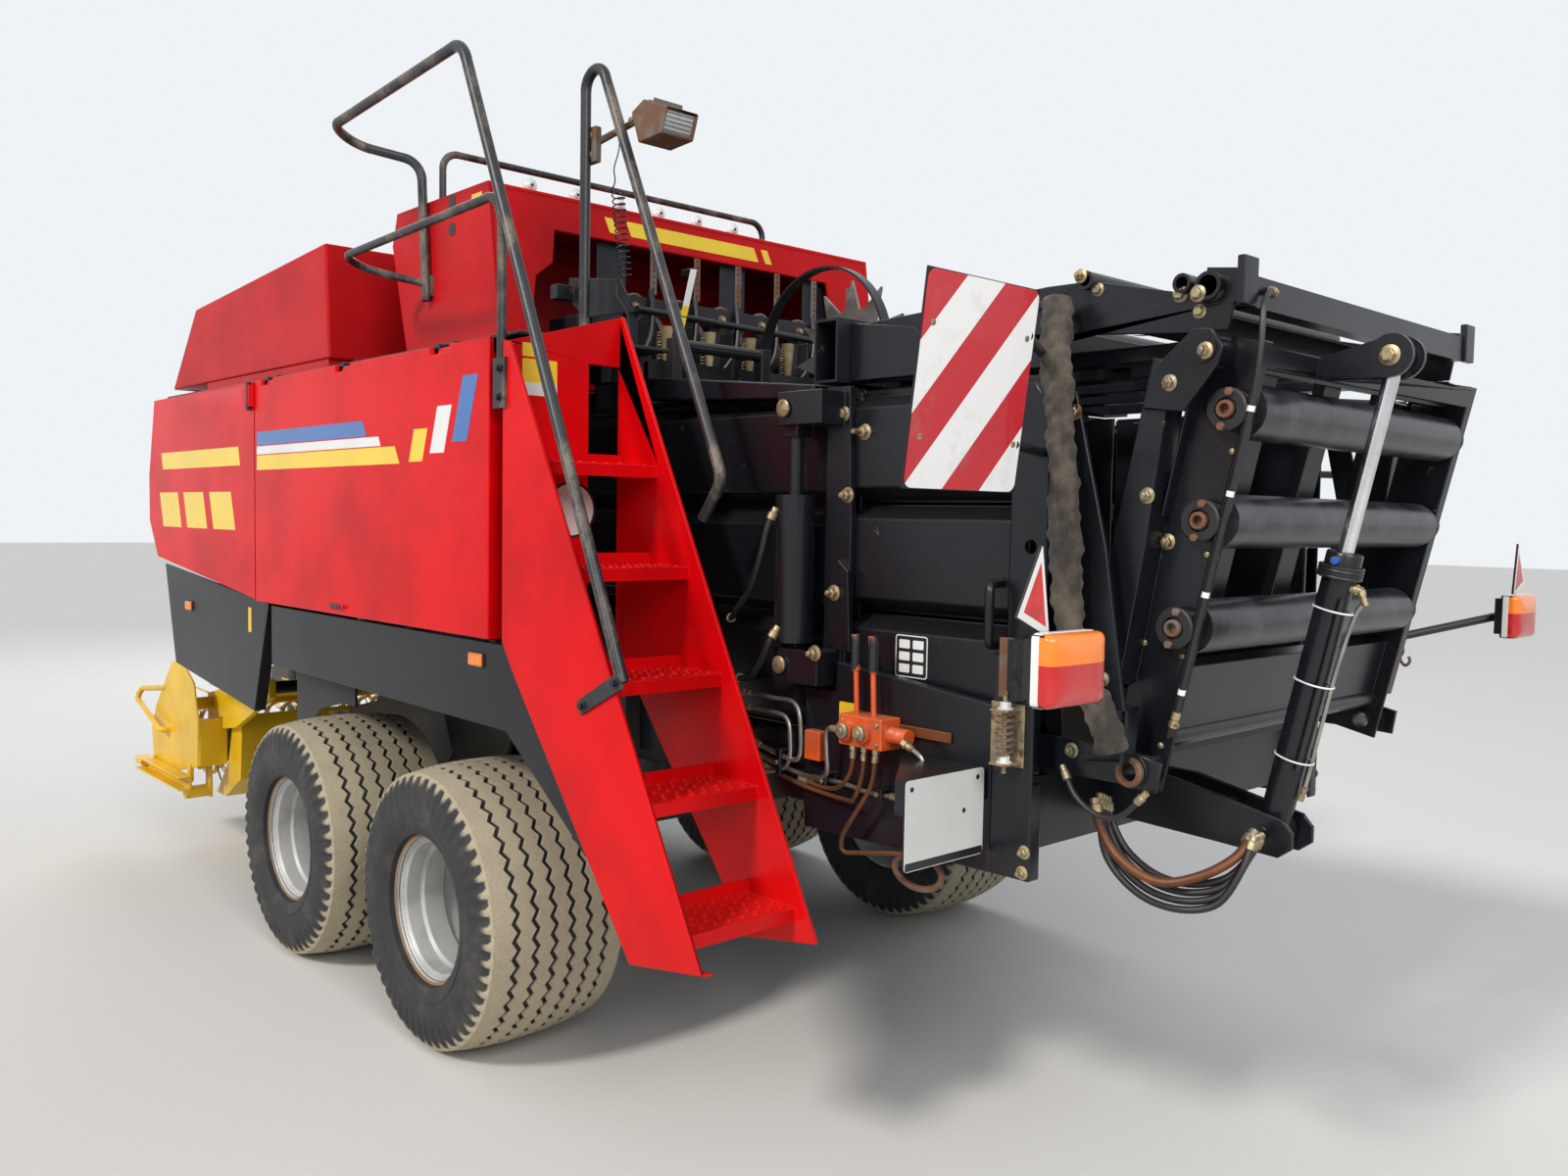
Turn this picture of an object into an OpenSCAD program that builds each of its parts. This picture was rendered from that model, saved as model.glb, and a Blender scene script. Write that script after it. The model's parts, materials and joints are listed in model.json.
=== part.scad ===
// Square baler for large bales, parked on its tandem wheels and its drawbar jack.
// Frame: +X is the direction of travel, +Y the left-hand side, +Z up, ground at z = 0.
// Places along X below are counted from the middle between the two axles.

/* [Overall] */
// Tow eye's centre ahead of the middle between the axles
eye_ahead = 4150; // [3950:10:4400]
// Height of the tow eye's centre
eye_z = 600; // [540:10:700]
// Width over the closed side doors
body_w = 2560; // [2540:10:2580]
// Height of the deck on the side boxes
deck_z = 2212; // [2212:1:2260]

/* [Wheels] */
// Outer diameter of the tyres
tyre_od = 900; // [860:10:930]
// Width of the tyres
tyre_w = 500; // [460:10:500]
// Diameter of the rims at the bead
rim_d = 450; // [420:10:480]
// Distance between front and rear axle
wheelbase = 1120; // [1060:10:1180]
// Distance between the left and right tyres' middles
track = 2100; // [2100:10:2100]
// Diameter of the wheel spindles
spindle_d = 70; // [60:2:80]

/* [Bale chamber] */
// Inside width of the chamber, the bale's width
chamber_w = 1200; // [1180:10:1200]
// Inside height of the chamber, the bale's height
chamber_h = 900; // [860:10:900]
// Height of the chamber's floor
floor_z = 1150; // [1140:5:1160]
// Chamber's rear end behind the middle between the axles
chamber_back = 2450; // [2440:5:2460]
// Thickness of the chamber's plates
plate_t = 12; // [8:1:12]

/* [Side doors] */
// Rear edge of the main doors behind the axles' middle
door_back = 957; // [930:1:957]
// Split between main and front doors, ahead of the axles' middle
split_x = 875; // [850:5:900]
// Height of the doors' lower edge
door_lo = 1335; // [1320:5:1350]
// Thickness of the door shells
door_t = 18; // [14:1:20]

/* [Hoods] */
// Height of the arched hood over the knotters
arch_top = 2820; // [2760:10:2860]
// Width of the arched hood
arch_w = 1840; // [1800:10:1840]
// Height of the front hood
hood_top = 2740; // [2700:10:2760]
// Width of the front hood
hood_w = 2120; // [2080:10:2140]
// Thickness of the hoods' sheets
sheet_t = 14; // [10:1:16]

/* [Handrails] */
// Diameter of the handrail tubes
rail_d = 34; // [28:1:36]
// Height of the outer handrail
rail_top = 3060; // [2950:10:3150]

/* [Bale chute] */
// Lean of the folded chute behind the upright
chute_lean = 12.5; // [10:0.5:14]
// Length of the chute's side rails
chute_len = 960; // [950:5:970]
// Diameter of the chute's rollers
roller_d = 120; // [100:2:124]
// Distance between neighbouring rollers
roller_pitch = 240; // [235:1:240]
// Height of the chute's pivot
pivot_z = 1150; // [1140:5:1160]
// Bore of the chute cylinder's barrel
barrel_d = 70; // [60:2:76]
// Diameter of the chute cylinder's rod
rod_d = 34; // [28:1:40]

/* [Pickup] */
// Width between the pickup's side shields
pickup_w = 2200; // [2140:10:2220]
// Diameter over the pickup's tines
reel_d = 480; // [440:10:500]
// Number of tines on each bar of the reel
tines = 24; // [16:1:32]
// Diameter of the tines' wire
tine_d = 8; // [6:1:9]

/* [Drawbar] */
// Width of the drawbar's box beam
beam_w = 180; // [160:10:200]
// Bore of the tow eye
eye_bore = 50; // [40:1:52]
// Outer diameter of the tow eye
eye_od = 120; // [110:2:130]
// Diameter of the jack's outer tube
jack_d = 90; // [80:2:96]

/* [Hidden] */
$fn = 48;
fit = 0.5;        // running clearance at pins and spindles
gap = 6;          // clearance beside moving pieces
tyre_r = tyre_od / 2;
axle_z = tyre_r;
door_y = body_w / 2;
skin_y = door_y - door_t;
half_w = chamber_w / 2;
wall_y = half_w + plate_t;
rib_y = half_w + 80;
rail_lo = 920;
floor_lo = floor_z - 50;
roof_z = floor_z + chamber_h;
ladder_y = [880, 1275];

// chute pivot, rollers and the place of its cylinder's two ends
pivot_x = -(chamber_back + 205);
eye_u = [-190, 975];
cyl_y = 300;
function lean_x(p) = pivot_x + p[0] * cos(chute_lean) - p[1] * sin(chute_lean);
function lean_z(p) = pivot_z + p[0] * sin(chute_lean) + p[1] * cos(chute_lean);
rod_eye = [lean_x(eye_u), lean_z(eye_u)];
cyl_foot = [pivot_x - 165, pivot_z - 150];
lug_r = 46;
roller_half = 545;      // half of the rollers' visible length
chute_y = [560, 600];   // side rails of the chute, web and outer edge

// the machine's ends set the origin under the middle of its length
front_x = eye_ahead + eye_od / 2;
rear_x = rod_eye[0] - lug_r;
tandem_x = -(front_x + rear_x) / 2;

black = [0.07, 0.08, 0.10];
red = [0.80, 0.02, 0.02];
yellow = [0.98, 0.78, 0.02];

// helpers

module at_tandem() translate([tandem_x, 0, 0]) children();

module both_sides() {
    children();
    mirror([0, 1, 0]) children();
}

// box between two limits along each axis
module block(x, y, z) {
    translate([x[0], y[0], z[0]]) cube([x[1] - x[0], y[1] - y[0], z[1] - z[0]]);
}

// plates with an outline seen from the side, from behind and from above
module side_plate(outline, y) {
    translate([0, y[1], 0]) rotate([90, 0, 0]) linear_extrude(y[1] - y[0]) polygon(outline);
}
module cross_plate(outline, x) {
    translate([x[0], 0, 0]) rotate([90, 0, 90]) linear_extrude(x[1] - x[0]) polygon(outline);
}
module flat_plate(outline, z) {
    translate([0, 0, z[0]]) linear_extrude(z[1] - z[0]) polygon(outline);
}

// round bar between two points, and one bent through several
module bar(p, q, d) {
    v = q - p;
    len = norm(v);
    translate(p) rotate([0, acos(v[2] / len), atan2(v[1], v[0])]) cylinder(h = len, d = d);
}
function unit(v) = v / norm(v);
module bent_tube(points, d, r = 60) {
    n = len(points) - 1;
    dirs = [for (i = [0:n - 1]) unit(points[i + 1] - points[i])];
    // length each bend takes off the straights beside it, less a short overlap
    cut = [for (i = [0:n]) i == 0 || i == n ? 0 : r * tan(acos(dirs[i - 1] * dirs[i]) / 2)];
    lap = [for (i = [0:n]) i == 0 || i == n ? 0 : 1];
    for (i = [0:n - 1]) {
        bar(points[i] + (cut[i] - lap[i]) * dirs[i],
            points[i + 1] - (cut[i + 1] - lap[i + 1]) * dirs[i], d - 1);
    }
    for (i = [1:n - 1]) {
        a = dirs[i - 1];
        m = unit(dirs[i] - (a * dirs[i]) * a);
        k = cross(-m, a);
        c = points[i] - cut[i] * a + r * m;
        multmatrix([[-m[0], a[0], k[0], c[0]], [-m[1], a[1], k[1], c[1]], [-m[2], a[2], k[2], c[2]]])
            rotate_extrude(angle = acos(a * dirs[i])) translate([r, 0]) circle(d = d);
    }
}

// pin across the machine at [x, z], from y[0] to y[1]
module cross_pin(at, y, d) {
    translate([at[0], y[0], at[1]]) rotate([-90, 0, 0]) cylinder(h = y[1] - y[0], d = d);
}

// frame of the folded chute: origin at its pivot, +Z up along its rails
module on_chute() {
    at_tandem() translate([pivot_x, 0, pivot_z]) rotate([0, -chute_lean, 0]) children();
}

// chassis

rail_y = [620, 720];

module frame() {
    color(black) at_tandem() difference() {
        union() {
            both_sides() {
                block([-2400, 2300], rail_y, [rail_lo, floor_lo]);
                // hangers of the tandem rockers
                side_plate([[-260, rail_lo], [260, rail_lo], [90, 560], [-90, 560]], [640, 660]);
                side_plate([[-260, rail_lo], [260, rail_lo], [90, 560], [-90, 560]], [770, 790]);
                block([-260, 260], [720, 790], [rail_lo, rail_lo + 20]);
                // side sheet below the tension door, with its turned lip
                side_plate([[-2335, 868], [-2335, 1268], [-1815, 1320], [-1815, 1240], [-1700, 1240],
                    [-1700, 856]], [720, 728]);
                side_plate([[-2335, 1262], [-2335, 1268], [-1815, 1320], [-1815, 1314]], [700, 720]);
            }
            for (x = [-2400, -1150, 2180]) block([x, x + 120], [-620, 620], [rail_lo, floor_lo - 4]);
            block([-80, 80], [-640, 640], [640, 780]);
            both_sides() block([-80, 80], [600, 640], [640, rail_lo]);
        }
        cross_pin([0, 640], [-800, 800], 70);
    }
    // stubs that carry the pickup's arms
    color(black) at_tandem() both_sides() {
        cross_pin(lift_pin, [rail_y[1], pickup_w / 2 - 70], 60 - 2 * fit);
        block([lift_pin[0] - 60, lift_pin[0] + 60], [rail_y[1], rail_y[1] + 12],
            [lift_pin[1] - 50, floor_lo]);
    }
}

// rocker beam with two wheel spindles on each side, on a pin through the hangers
module rockers() {
    hub = wheelbase / 2;
    color(black) at_tandem() both_sides() {
        difference() {
            side_plate([[-hub - 70, axle_z - 60], [-hub - 70, axle_z + 50], [-120, 690], [120, 690],
                [hub + 70, axle_z + 50], [hub + 70, axle_z - 60], [100, 540], [-100, 540]],
                [662, 768]);
            cross_pin([0, 640], [640, 790], 70);
        }
        cross_pin([0, 640], [620, 800], 70 - fit);
        for (s = [-1, 1]) cross_pin([s * hub, axle_z], [760, 1115], spindle_d);
    }
}

// bale chamber

module folded_rib(x, z, h) {
    translate([x[0], 0, 0]) rotate([90, 0, 90]) linear_extrude(x[1] - x[0])
        polygon([[wall_y, z], [rib_y, z + 30], [rib_y, z + h - 30], [wall_y, z + h]]);
}

module chamber_walls() {
    door_x = -1780;
    color(black) at_tandem() both_sides() {
        block([door_x, 1300], [half_w, wall_y], [floor_lo, roof_z]);
        for (z = [floor_lo + 20, floor_lo + 330, floor_lo + 640]) folded_rib([door_x, 1300], z, 280);
        // side post at the chamber's rear end, with a bent edge to the rear
        block([-2455, -2340], [720, 732], [870, 1390]);
        block([-2455, -2443], [690, 720], [870, 1096]);
        block([-2400, -2350], [620, 720], [floor_lo, 1390]);
        // folded channel along the roof's edge
        side_plate([[-1680, roof_z - 26], [-1680, roof_z + 10], [-900, roof_z + 85],
            [-900, roof_z + 12]], [half_w + plate_t, 700]);
    }
}

module chamber_floor() {
    color(black) at_tandem() difference() {
        block([-chamber_back, 1300], [-half_w, half_w], [floor_lo, floor_z]);
        // slots the needles pass through
        for (i = [-2.5:1:2.5]) block([-420, -200], [i * 190 - 20, i * 190 + 20], [floor_lo - 1, floor_z + 1]);
    }
}

module chamber_roof() {
    color(black) at_tandem() {
        difference() {
            block([-1600, 1300], [-wall_y, wall_y], [roof_z, roof_z + plate_t]);
            for (i = [-2.5:1:2.5]) {
                block([-420, -200], [i * 190 - 20, i * 190 + 20], [roof_z - 1, roof_z + 30]);
            }
            block([-1350, -900], [-60, 60], [roof_z - 1, roof_z + 30]);
        }
        // open-ended cross tubes that carry the tension frame and the knotters
        for (t = [[-1768, -1680, 700, 182], [-790, -700, 600, 162]]) difference() {
            block([t[0], t[1]], [-t[2], t[2]], [roof_z + plate_t, roof_z + t[3]]);
            block([t[0] + 7, t[1] - 7], [-t[2] - 1, t[2] + 1],
                [roof_z + plate_t + 7, roof_z + t[3] - 7]);
        }
        both_sides() block([-1680, -1600], [560, 600], [roof_z + 4, roof_z + 60]);
    }
}

// ribbed doors that squeeze the bale at the rear end
module tension_doors() {
    color(black) at_tandem() both_sides() {
        block([-chamber_back, -1790], [half_w, wall_y], [floor_z + 4, roof_z - 4]);
        for (z = [floor_z + 20, floor_z + 310, floor_z + 600]) {
            folded_rib([-2340, -1800], z, 270);
        }
        // stiff edge post at the rear, cranked out to the ribs' faces
        difference() {
            side_plate([[-2450, 1396], [-2450, 1960], [-2405, 2020], [-2342, 2020], [-2342, 1396]],
                [wall_y, 690]);
            side_plate([[-2451, 1390], [-2451, 2030], [-2350, 2030], [-2350, 1390]], [wall_y + 8, 682]);
            cross_pin([-2405, 1640], [670, 700], 34);
        }
    }
}

// upright cylinders with their links, one each side of the chamber
module tension_cylinders() {
    y = 740;
    color(black) at_tandem() both_sides() {
        translate([-1660, y, 1360]) cylinder(h = 400, d = 110);
        translate([-1660, y, 1760]) cylinder(h = 160, d = 40);
        // forked head of the rod and the barrel's eye
        difference() {
            side_plate([[-1690, 1915], [-1630, 1915], [-1622, 1990], [-1640, 2030], [-1680, 2030],
                [-1698, 1990]], [y - 28, y + 28]);
            side_plate([[-1678, 1950], [-1642, 1950], [-1642, 1962], [-1678, 1962]], [y - 30, y + 30]);
            cross_pin([-1660, 1990], [y - 30, y + 30], 38);
        }
        difference() {
            union() {
                cross_pin([-1660, 1300], [y - 20, y + 20], 90);
                block([-1690, -1630], [y - 20, y + 20], [1300, 1362]);
            }
            cross_pin([-1660, 1300], [y - 30, y + 30], 36);
        }
        for (z = [1300, 1990]) {
            cross_pin([-1660, z], [684, y + 50], 35);
            for (s = [-40, 34]) block([-1800, -1630], [y + s, y + s + 12], [z - 45, z + 45]);
            block([-1800, -1770], [700, y + 46], [z - 45, z + 45]);
        }
        // edge post that carries both ends
        side_plate([[-1735, 2048], [-1818, 2048], [-1832, 1700], [-1832, 1480], [-1818, 1322],
            [-1818, 1244], [-1735, 1244]], [rib_y, 700]);
        // tapered link down the post's outer side
        side_plate([[-1790, 1350], [-1850, 1345], [-1838, 1560], [-1800, 1590], [-1770, 1560],
            [-1765, 1420]], [700, 716]);
    }
}

// frame over the chamber's rear end, whose cross tubes show open ends
module top_frame() {
    // name each tube's place and size: x, z, diameter, bore
    tubes = [[-2795, 2197, 60, 44], [-2735, 2209, 42, 28], [-2493, 2246, 42, 28], [-2200, 2190, 60, 44]];
    z = roof_z + plate_t;
    color(black) at_tandem() {
        difference() {
            union() {
                both_sides() {
                    side_plate([[-1770, z], [-1770, 2224], [-2377, 2249], [-2493, 2247], [-2774, 2182],
                        [-2779, 2240], [-2880, 2226], [-2872, 2165], [-2842, 2160], [-2832, 2104],
                        [-2760, 2104], [-2454, 2129], [-2360, z]], [600, 612]);
                    // cheek above the tension door
                    side_plate([[-1770, z + 4], [-1770, 2222], [-1994, 2190], [-2060, 2130],
                        [-2060, z + 4]], [640, 652]);
                    block([-1800, -1770], [612, 640], [z + 4, 2180]);
                    block([-2060, -2030], [612, 640], [z + 4, 2120]);
                    block([-2880, -2862], [580, 640], [2150, 2250]);
                }
                for (t = tubes) cross_pin([t[0], t[1]], [-636, 636], t[2]);
                for (x = [-2720, -2330]) block([x, x + 80], [-600, 600], [2112, 2170]);
            }
            for (t = tubes) cross_pin([t[0], t[1]], [-640, 640], t[3]);
        }
        // two flat bars along the roof and the rear edge's angle
        for (y = [-420, -140, 140, 420]) {
            block([-2640, -1768], [y - 35, y + 35], [2076, 2113]);
        }
        block([-2872, -2862], [-580, 580], [2150, 2215]);
        block([-2862, -2822], [-580, 580], [2150, 2158]);
    }
}

// slanting stays and the brackets that carry the chute's pivot
module rear_stays() {
    x = pivot_x;
    z = pivot_z;
    color(black) at_tandem() both_sides() {
        // flat stay down from the tension frame
        side_plate([[-2455, 1990], [-2520, 1990], [-2610, 1640], [-2668, 1290], [-2612, 1290],
            [-2560, 1500]], [684, 696]);
        bar([-2452, 640, 1968], [-2472, 690, 1968], 30);
        difference() {
            union() {
                side_plate([[-2400, z + 50], [x + 162, z + 50], [x + 41, z + 34], [x + 10, z + 44],
                    [x - 69, z + 27], [x - 59, z - 40], [x + 33, z - 34], [x + 121, z - 34],
                    [-2400, z - 30]], [622, 634]);
                side_plate([[-2560, z + 8], [-2660, z + 20], [-2668, z + 150], [-2600, z + 150]],
                    [634, 684]);
                cross_pin([x, z], [604, 642], 76);
            }
            cross_pin([x, z], [600, 650], 60);
            side_plate([[-2550, z + 16], [-2652, z + 28], [-2660, z + 160], [-2592, z + 160]],
                [642, 690]);
        }
        difference() {
            cross_pin([x, z], [548, 650], 60 - 2 * fit);
            cross_pin([x, z], [540, 660], 44);
        }
    }
    // forked arm that carries the chute cylinder's foot
    color(black) at_tandem() {
        for (y = [cyl_y - 57, cyl_y + 45]) {
            side_plate([[-2400, floor_lo - 4], [-2400, floor_lo - 130], [-2711, 958], [-2860, 950],
                [-2892, 975], [-2892, 1012], [-2868, 1038], [-2600, 1092], [-2450, floor_lo - 4]],
                [y, y + 12]);
        }
        block([-2720, -2500], [cyl_y - 45, cyl_y + 45], [1040, 1050]);
        cross_pin(cyl_foot, [cyl_y - 70, cyl_y + 70], 34);
    }
}

// drive

module drive_block() {
    color(black) at_tandem() {
        block([1330, 2280], [-520, 520], [floor_lo - 4, 1900]);
        cross_pin([1800, 1500], [-600, 600], 420);
        translate([2280, 0, 1400]) rotate([0, 90, 0]) cylinder(h = 300, d = 260);
    }
}

module flywheel() {
    color(black) at_tandem() translate([2580, 0, 1400]) rotate([0, 90, 0]) difference() {
        union() {
            cylinder(h = 110, d = 740);
            cylinder(h = 160, d = 200);
        }
        translate([0, 0, 60]) rotate_extrude() translate([130, 0]) square([190, 60]);
    }
}

module plunger() {
    color(black) at_tandem() difference() {
        block([600, 1320], [-half_w + 15, half_w - 15], [floor_z, roof_z - 10]);
        for (i = [-2.5:1:2.5]) block([590, 700], [i * 190 - 22, i * 190 + 22], [floor_z - 1, roof_z]);
        block([720, 1330], [-half_w + 60, half_w - 60], [floor_z + 60, roof_z + 1]);
    }
}

// drawbar

module drawbar() {
    color(black) at_tandem() {
        difference() {
            union() {
                side_plate([[2300, 810], [2300, 1000], [3150, 970], [3950, 690], [3950, 520],
                    [3850, 520], [3150, 790]], [-beam_w / 2, beam_w / 2]);
                both_sides() side_plate([[2300, 810], [2300, 1080], [2400, 1080], [2560, 1000],
                    [2900, 970], [2900, 800]], [beam_w / 2, beam_w / 2 + 14]);
                block([2300, 2330], [-560, 560], [810, 1090]);
            }
            for (x = [3880, 3925]) cross_pin([x, eye_z], [-200, 200], 24);
        }
    }
}

module tow_eye() {
    color([0.16, 0.16, 0.17]) at_tandem() difference() {
        union() {
            translate([eye_ahead, 0, eye_z - 28]) cylinder(h = 56, d = eye_od);
            block([3950, eye_ahead - 20], [-45, 45], [eye_z - 28, eye_z + 28]);
            block([3950, 3970], [-85, 85], [eye_z - 75, eye_z + 85]);
        }
        translate([eye_ahead, 0, eye_z - 60]) cylinder(h = 120, d = eye_bore);
    }
}

jack_x = 3350;
jack_y = 170;

module jack_body() {
    color(black) at_tandem() {
        difference() {
            translate([jack_x, jack_y, 480]) cylinder(h = 640, d = jack_d);
            translate([jack_x, jack_y, 470]) cylinder(h = 620, d = jack_d - 14);
        }
        block([jack_x - 50, jack_x + 50], [beam_w / 2, jack_y - jack_d / 2 + 4], [790, 880]);
        // crank on the jack's head
        translate([jack_x, jack_y, 1120]) cylinder(h = 40, d = 50);
        bar([jack_x, jack_y, 1150], [jack_x - 150, jack_y + 60, 1150], 16);
        bar([jack_x - 150, jack_y + 60, 1145], [jack_x - 150, jack_y + 60, 1240], 22);
    }
}

module jack_leg() {
    color([0.6, 0.6, 0.6]) at_tandem() translate([jack_x, jack_y, 0]) {
        translate([0, 0, 10]) cylinder(h = 760, d = jack_d - 14 - 2 * fit);
        cylinder(h = 12, d = 220);
    }
}

module pto_shaft() {
    color(yellow) at_tandem() {
        bar([2740, 0, 1400], [2790, 0, 1400], 100);
        bar([2775, 0, 1400], [3000, 0, 1330], 120);
        bar([3000, 0, 1330], [3900, 0, 1050], 90);
        // collar that the coupling stops against, then the bare stub
        bar([3892, 0, 1051.5], [3912, 0, 1047.75], 100);
        bar([3900, 0, 1050], [4060, 0, 1020], 60);
    }
    // rest on the drawbar
    color(black) at_tandem() {
        block([3560, 3580], [-14, 14], [827, 1112]);
    }
}

// feeding

module feeder() {
    color(black) at_tandem() difference() {
        side_plate([[300, floor_lo], [300, 980], [700, 560], [1200, 330], [1600, 320],
            [1600, 760], [1300, 830], [1000, floor_lo]], [-590, 590]);
        side_plate([[320, floor_lo + 1], [320, 990], [710, 580], [1210, 350], [1610, 340],
            [1610, 740], [1290, 815], [985, floor_lo + 1]], [-570, 570]);
    }
}

module needle_yoke() {
    color(black) at_tandem() {
        bar([-200, -580, 520], [-200, 580, 520], 70);
        for (i = [-2.5:1:2.5]) bar([-200, i * 190, 520], [-330, i * 190, 900], 22);
        both_sides() block([-225, -175], [570, rail_y[0]], [500, rail_lo + 60]);
    }
}

pickup_x = 2520;
pickup_z = 500;
lift_pin = [1480, 900];

module pickup_frame() {
    w = pickup_w / 2;
    color(yellow) at_tandem() {
        // arms from the lift pivot, and the trough behind the reel
        both_sides() difference() {
            side_plate([[1440, 860], [1440, 940], [1540, 950], [2260, 790], [2260, 640], [2050, 700],
                [2050, 640], [1870, 670]], [w - 110, w - 80]);
            cross_pin(lift_pin, [w - 120, w - 60], 60);
        }
        difference() {
            side_plate([[1900, 415], [1880, 630], [1900, 724], [1990, 700], [2060, 480], [2200, 330],
                [2240, 300], [2100, 300]], [-w + 110, w - 110]);
            side_plate([[1914, 420], [1894, 630], [1914, 740], [1976, 700], [2046, 474], [2190, 314],
                [2110, 314]], [-w + 124, w - 124]);
            side_plate([[1860, 440], [1860, 700], [2100, 700], [2100, 440]], [-560, 560]);
        }
        cross_pin([2200, 750], [-w - 20, w + 20], 60);
        // wind guard rods
        for (i = [-10:10]) bar([2200, i * 95, 755], [2740, i * 95, 770], 10);
    }
}

module pickup_shields() {
    w = pickup_w / 2;
    color(yellow) at_tandem() both_sides() {
        side_plate([[2070, 465], [2060, 690], [2120, 860], [2300, 960], [2440, 935], [2700, 690],
            [2785, 560], [2750, 405], [2390, 395]], [w + 20, w + 30]);
        block([2060, 2072], [w - 106, w + 20], [465, 688]);
        block([2072, 2110], [w - 76, w + 20], [680, 688]);
        block([2072, 2420], [w - 14, w + 20], [452, 462]);
        // bearing of the reel
        difference() {
            cross_pin([pickup_x, pickup_z], [w + 2, w + 20], 110);
            cross_pin([pickup_x, pickup_z], [w - 1, w + 19], 50);
        }
        // loop handle and the gauge wheel's channel with its stub
        bent_tube([[2560, w + 25, 790], [2900, w + 40, 750], [2930, w + 60, 700], [2480, w + 72, 590],
            [2480, w + 29, 590]], 28, 24);
        difference() {
            block([2130, 2840], [w + 36, w + 96], [345, 412]);
            block([2120, 2850], [w + 44, w + 100], [353, 404]);
        }
        block([2150, 2190], [w + 20, w + 40], [380, 470]);
        block([2700, 2740], [w + 20, w + 40], [380, 430]);
        cross_pin([2160, 330], [w - 60, w + 60], 60);
        block([2130, 2190], [w - 60, w - 46], [300, 452]);
        block([2130, 2190], [w + 36, w + 50], [330, 380]);
        bar([2800, w + 60, 378], [2900, w + 60, 378], 40);
    }
}

module pickup_reel() {
    w = pickup_w / 2 - 130;
    color([0.25, 0.22, 0.2]) at_tandem() {
        cross_pin([pickup_x, pickup_z], [-w, w], 220);
        cross_pin([pickup_x, pickup_z], [-w - 148, w + 148], 50 - 2 * fit);
        for (k = [0:3], i = [0:tines - 1]) {
            a = k * 90 + 45;
            y = -w + 40 + i * (2 * w - 80) / (tines - 1);
            translate([pickup_x, y, pickup_z]) rotate([0, a, 0])
                translate([0, 0, 100]) cylinder(h = reel_d / 2 - 100, d = tine_d, $fn = 6);
        }
    }
}

// side structure

module outriggers() {
    color(black) at_tandem() both_sides() for (x = [-930, -40, 850, 2040]) {
        block([x, x + 40], [720, 780], [rail_lo + 30, deck_z - 12]);
        block([x, x + 40], [780, 1240], [1290, door_lo - 5]);
        block([x, x + 40], [780, 1210], [deck_z - 52, deck_z - 12]);
    }
}

module skirts() {
    y = [1240, 1252];
    color(black) at_tandem() both_sides() {
        side_plate([[-1010, 1075], [780, 1090], [780, 1322], [-1010, 1322]], y);
        side_plate([[810, 1328], [2105, 1435], [1965, 984], [970, 884]], y);
        side_plate([[-1010, 1322], [-1010, 1075], [-1420, 800], [-1440, 830], [-1075, 1322]], y);
        // turned rear edge of the front skirt, and the dirty sheet inside it
        side_plate([[810, 1328], [970, 884], [984, 886], [824, 1329]], [1205, y[0]]);
        side_plate([[560, 930], [560, 1080], [1150, 1080], [1150, 780], [1040, 780], [900, 880],
            [700, 925]], [1000, 1010]);
        block([560, 570], [1010, 1240], [1092, 1320]);
        block([560, 570], [1000, 1010], [1080, 1320]);
    }
}

module twine_racks() {
    color(black) at_tandem() both_sides() {
        for (x = [[-40, 848], [852, 2080]]) {
            for (z = [door_lo - 5, 1760]) block(x, [800, skin_y - 62], [z, z + 10]);
            block(x, [790, 800], [door_lo - 5, deck_z - 60]);
        }
    }
}

// axis of the main doors' hinges, and the hinges along the doors
door_pin = [skin_y - 12, deck_z - 27];
door_hinges = [-700, 0, 700];
front_hinges = [1645, 1735];

module deck() {
    color(black) at_tandem() {
        difference() {
            block([-1032, 2130], [34 - skin_y, skin_y - 34], [deck_z - 12, deck_z]);
            block([-1040, 330], [-700, 700], [deck_z - 20, deck_z + 10]);
            block([1400, 2140], [-600, 600], [deck_z - 20, deck_z + 10]);
        }
        // ears and pins of the main doors' hinges
        both_sides() for (x = door_hinges) {
            for (e = [x - 14, x + 84]) {
                block([e, e + 10], [skin_y - 42, door_pin[0] + 8], [door_pin[1] - 7, deck_z - 4]);
            }
            translate([x - 14, door_pin[0], door_pin[1]]) rotate([0, 90, 0])
                cylinder(h = 108, d = 10);
        }
    }
}

module nose() {
    w = skin_y - 62;
    t = sheet_t;
    color(red) at_tandem() difference() {
        flat_plate([[2135, -w], [2300, 10 - w], [2480, 100 - w], [2600, 260 - w], [2640, -500],
            [2640, 500], [2600, w - 260], [2480, w - 100], [2300, w - 10], [2135, w]],
            [1480, deck_z]);
        flat_plate([[2125, t - w], [2296, t + 10 - w], [2470, 112 - w], [2587, 270 - w], [2626, -500],
            [2626, 500], [2587, w - 270], [2470, w - 112], [2296, w - 10 - t], [2125, w - t]],
            [1470, deck_z - t]);
        block([2560, 2680], [-420, 420], [1470, 1840]);
        block([2120, 2500], [-900, 900], [deck_z - 30, deck_z + 10]);
        // grille over the drive's air inlet
        for (i = [-4:4]) block([2620, 2650], [i * 90 - 30, i * 90 + 30], [1900, 1930]);
        for (i = [-4:4]) block([2620, 2650], [i * 90 - 30, i * 90 + 30], [1970, 2000]);
    }
    // ears and pins of the front doors' hinges
    color(red) at_tandem() both_sides() for (z = front_hinges) {
        flat_plate([[2242, w - 16], [2282, w - 16], [2274, skin_y - 9], [2250, skin_y - 9]],
            [z - 12, z - 0.4]);
        translate([2262, skin_y - 20, z - 12]) cylinder(h = 44, d = 12);
    }
}

// hoods

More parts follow.
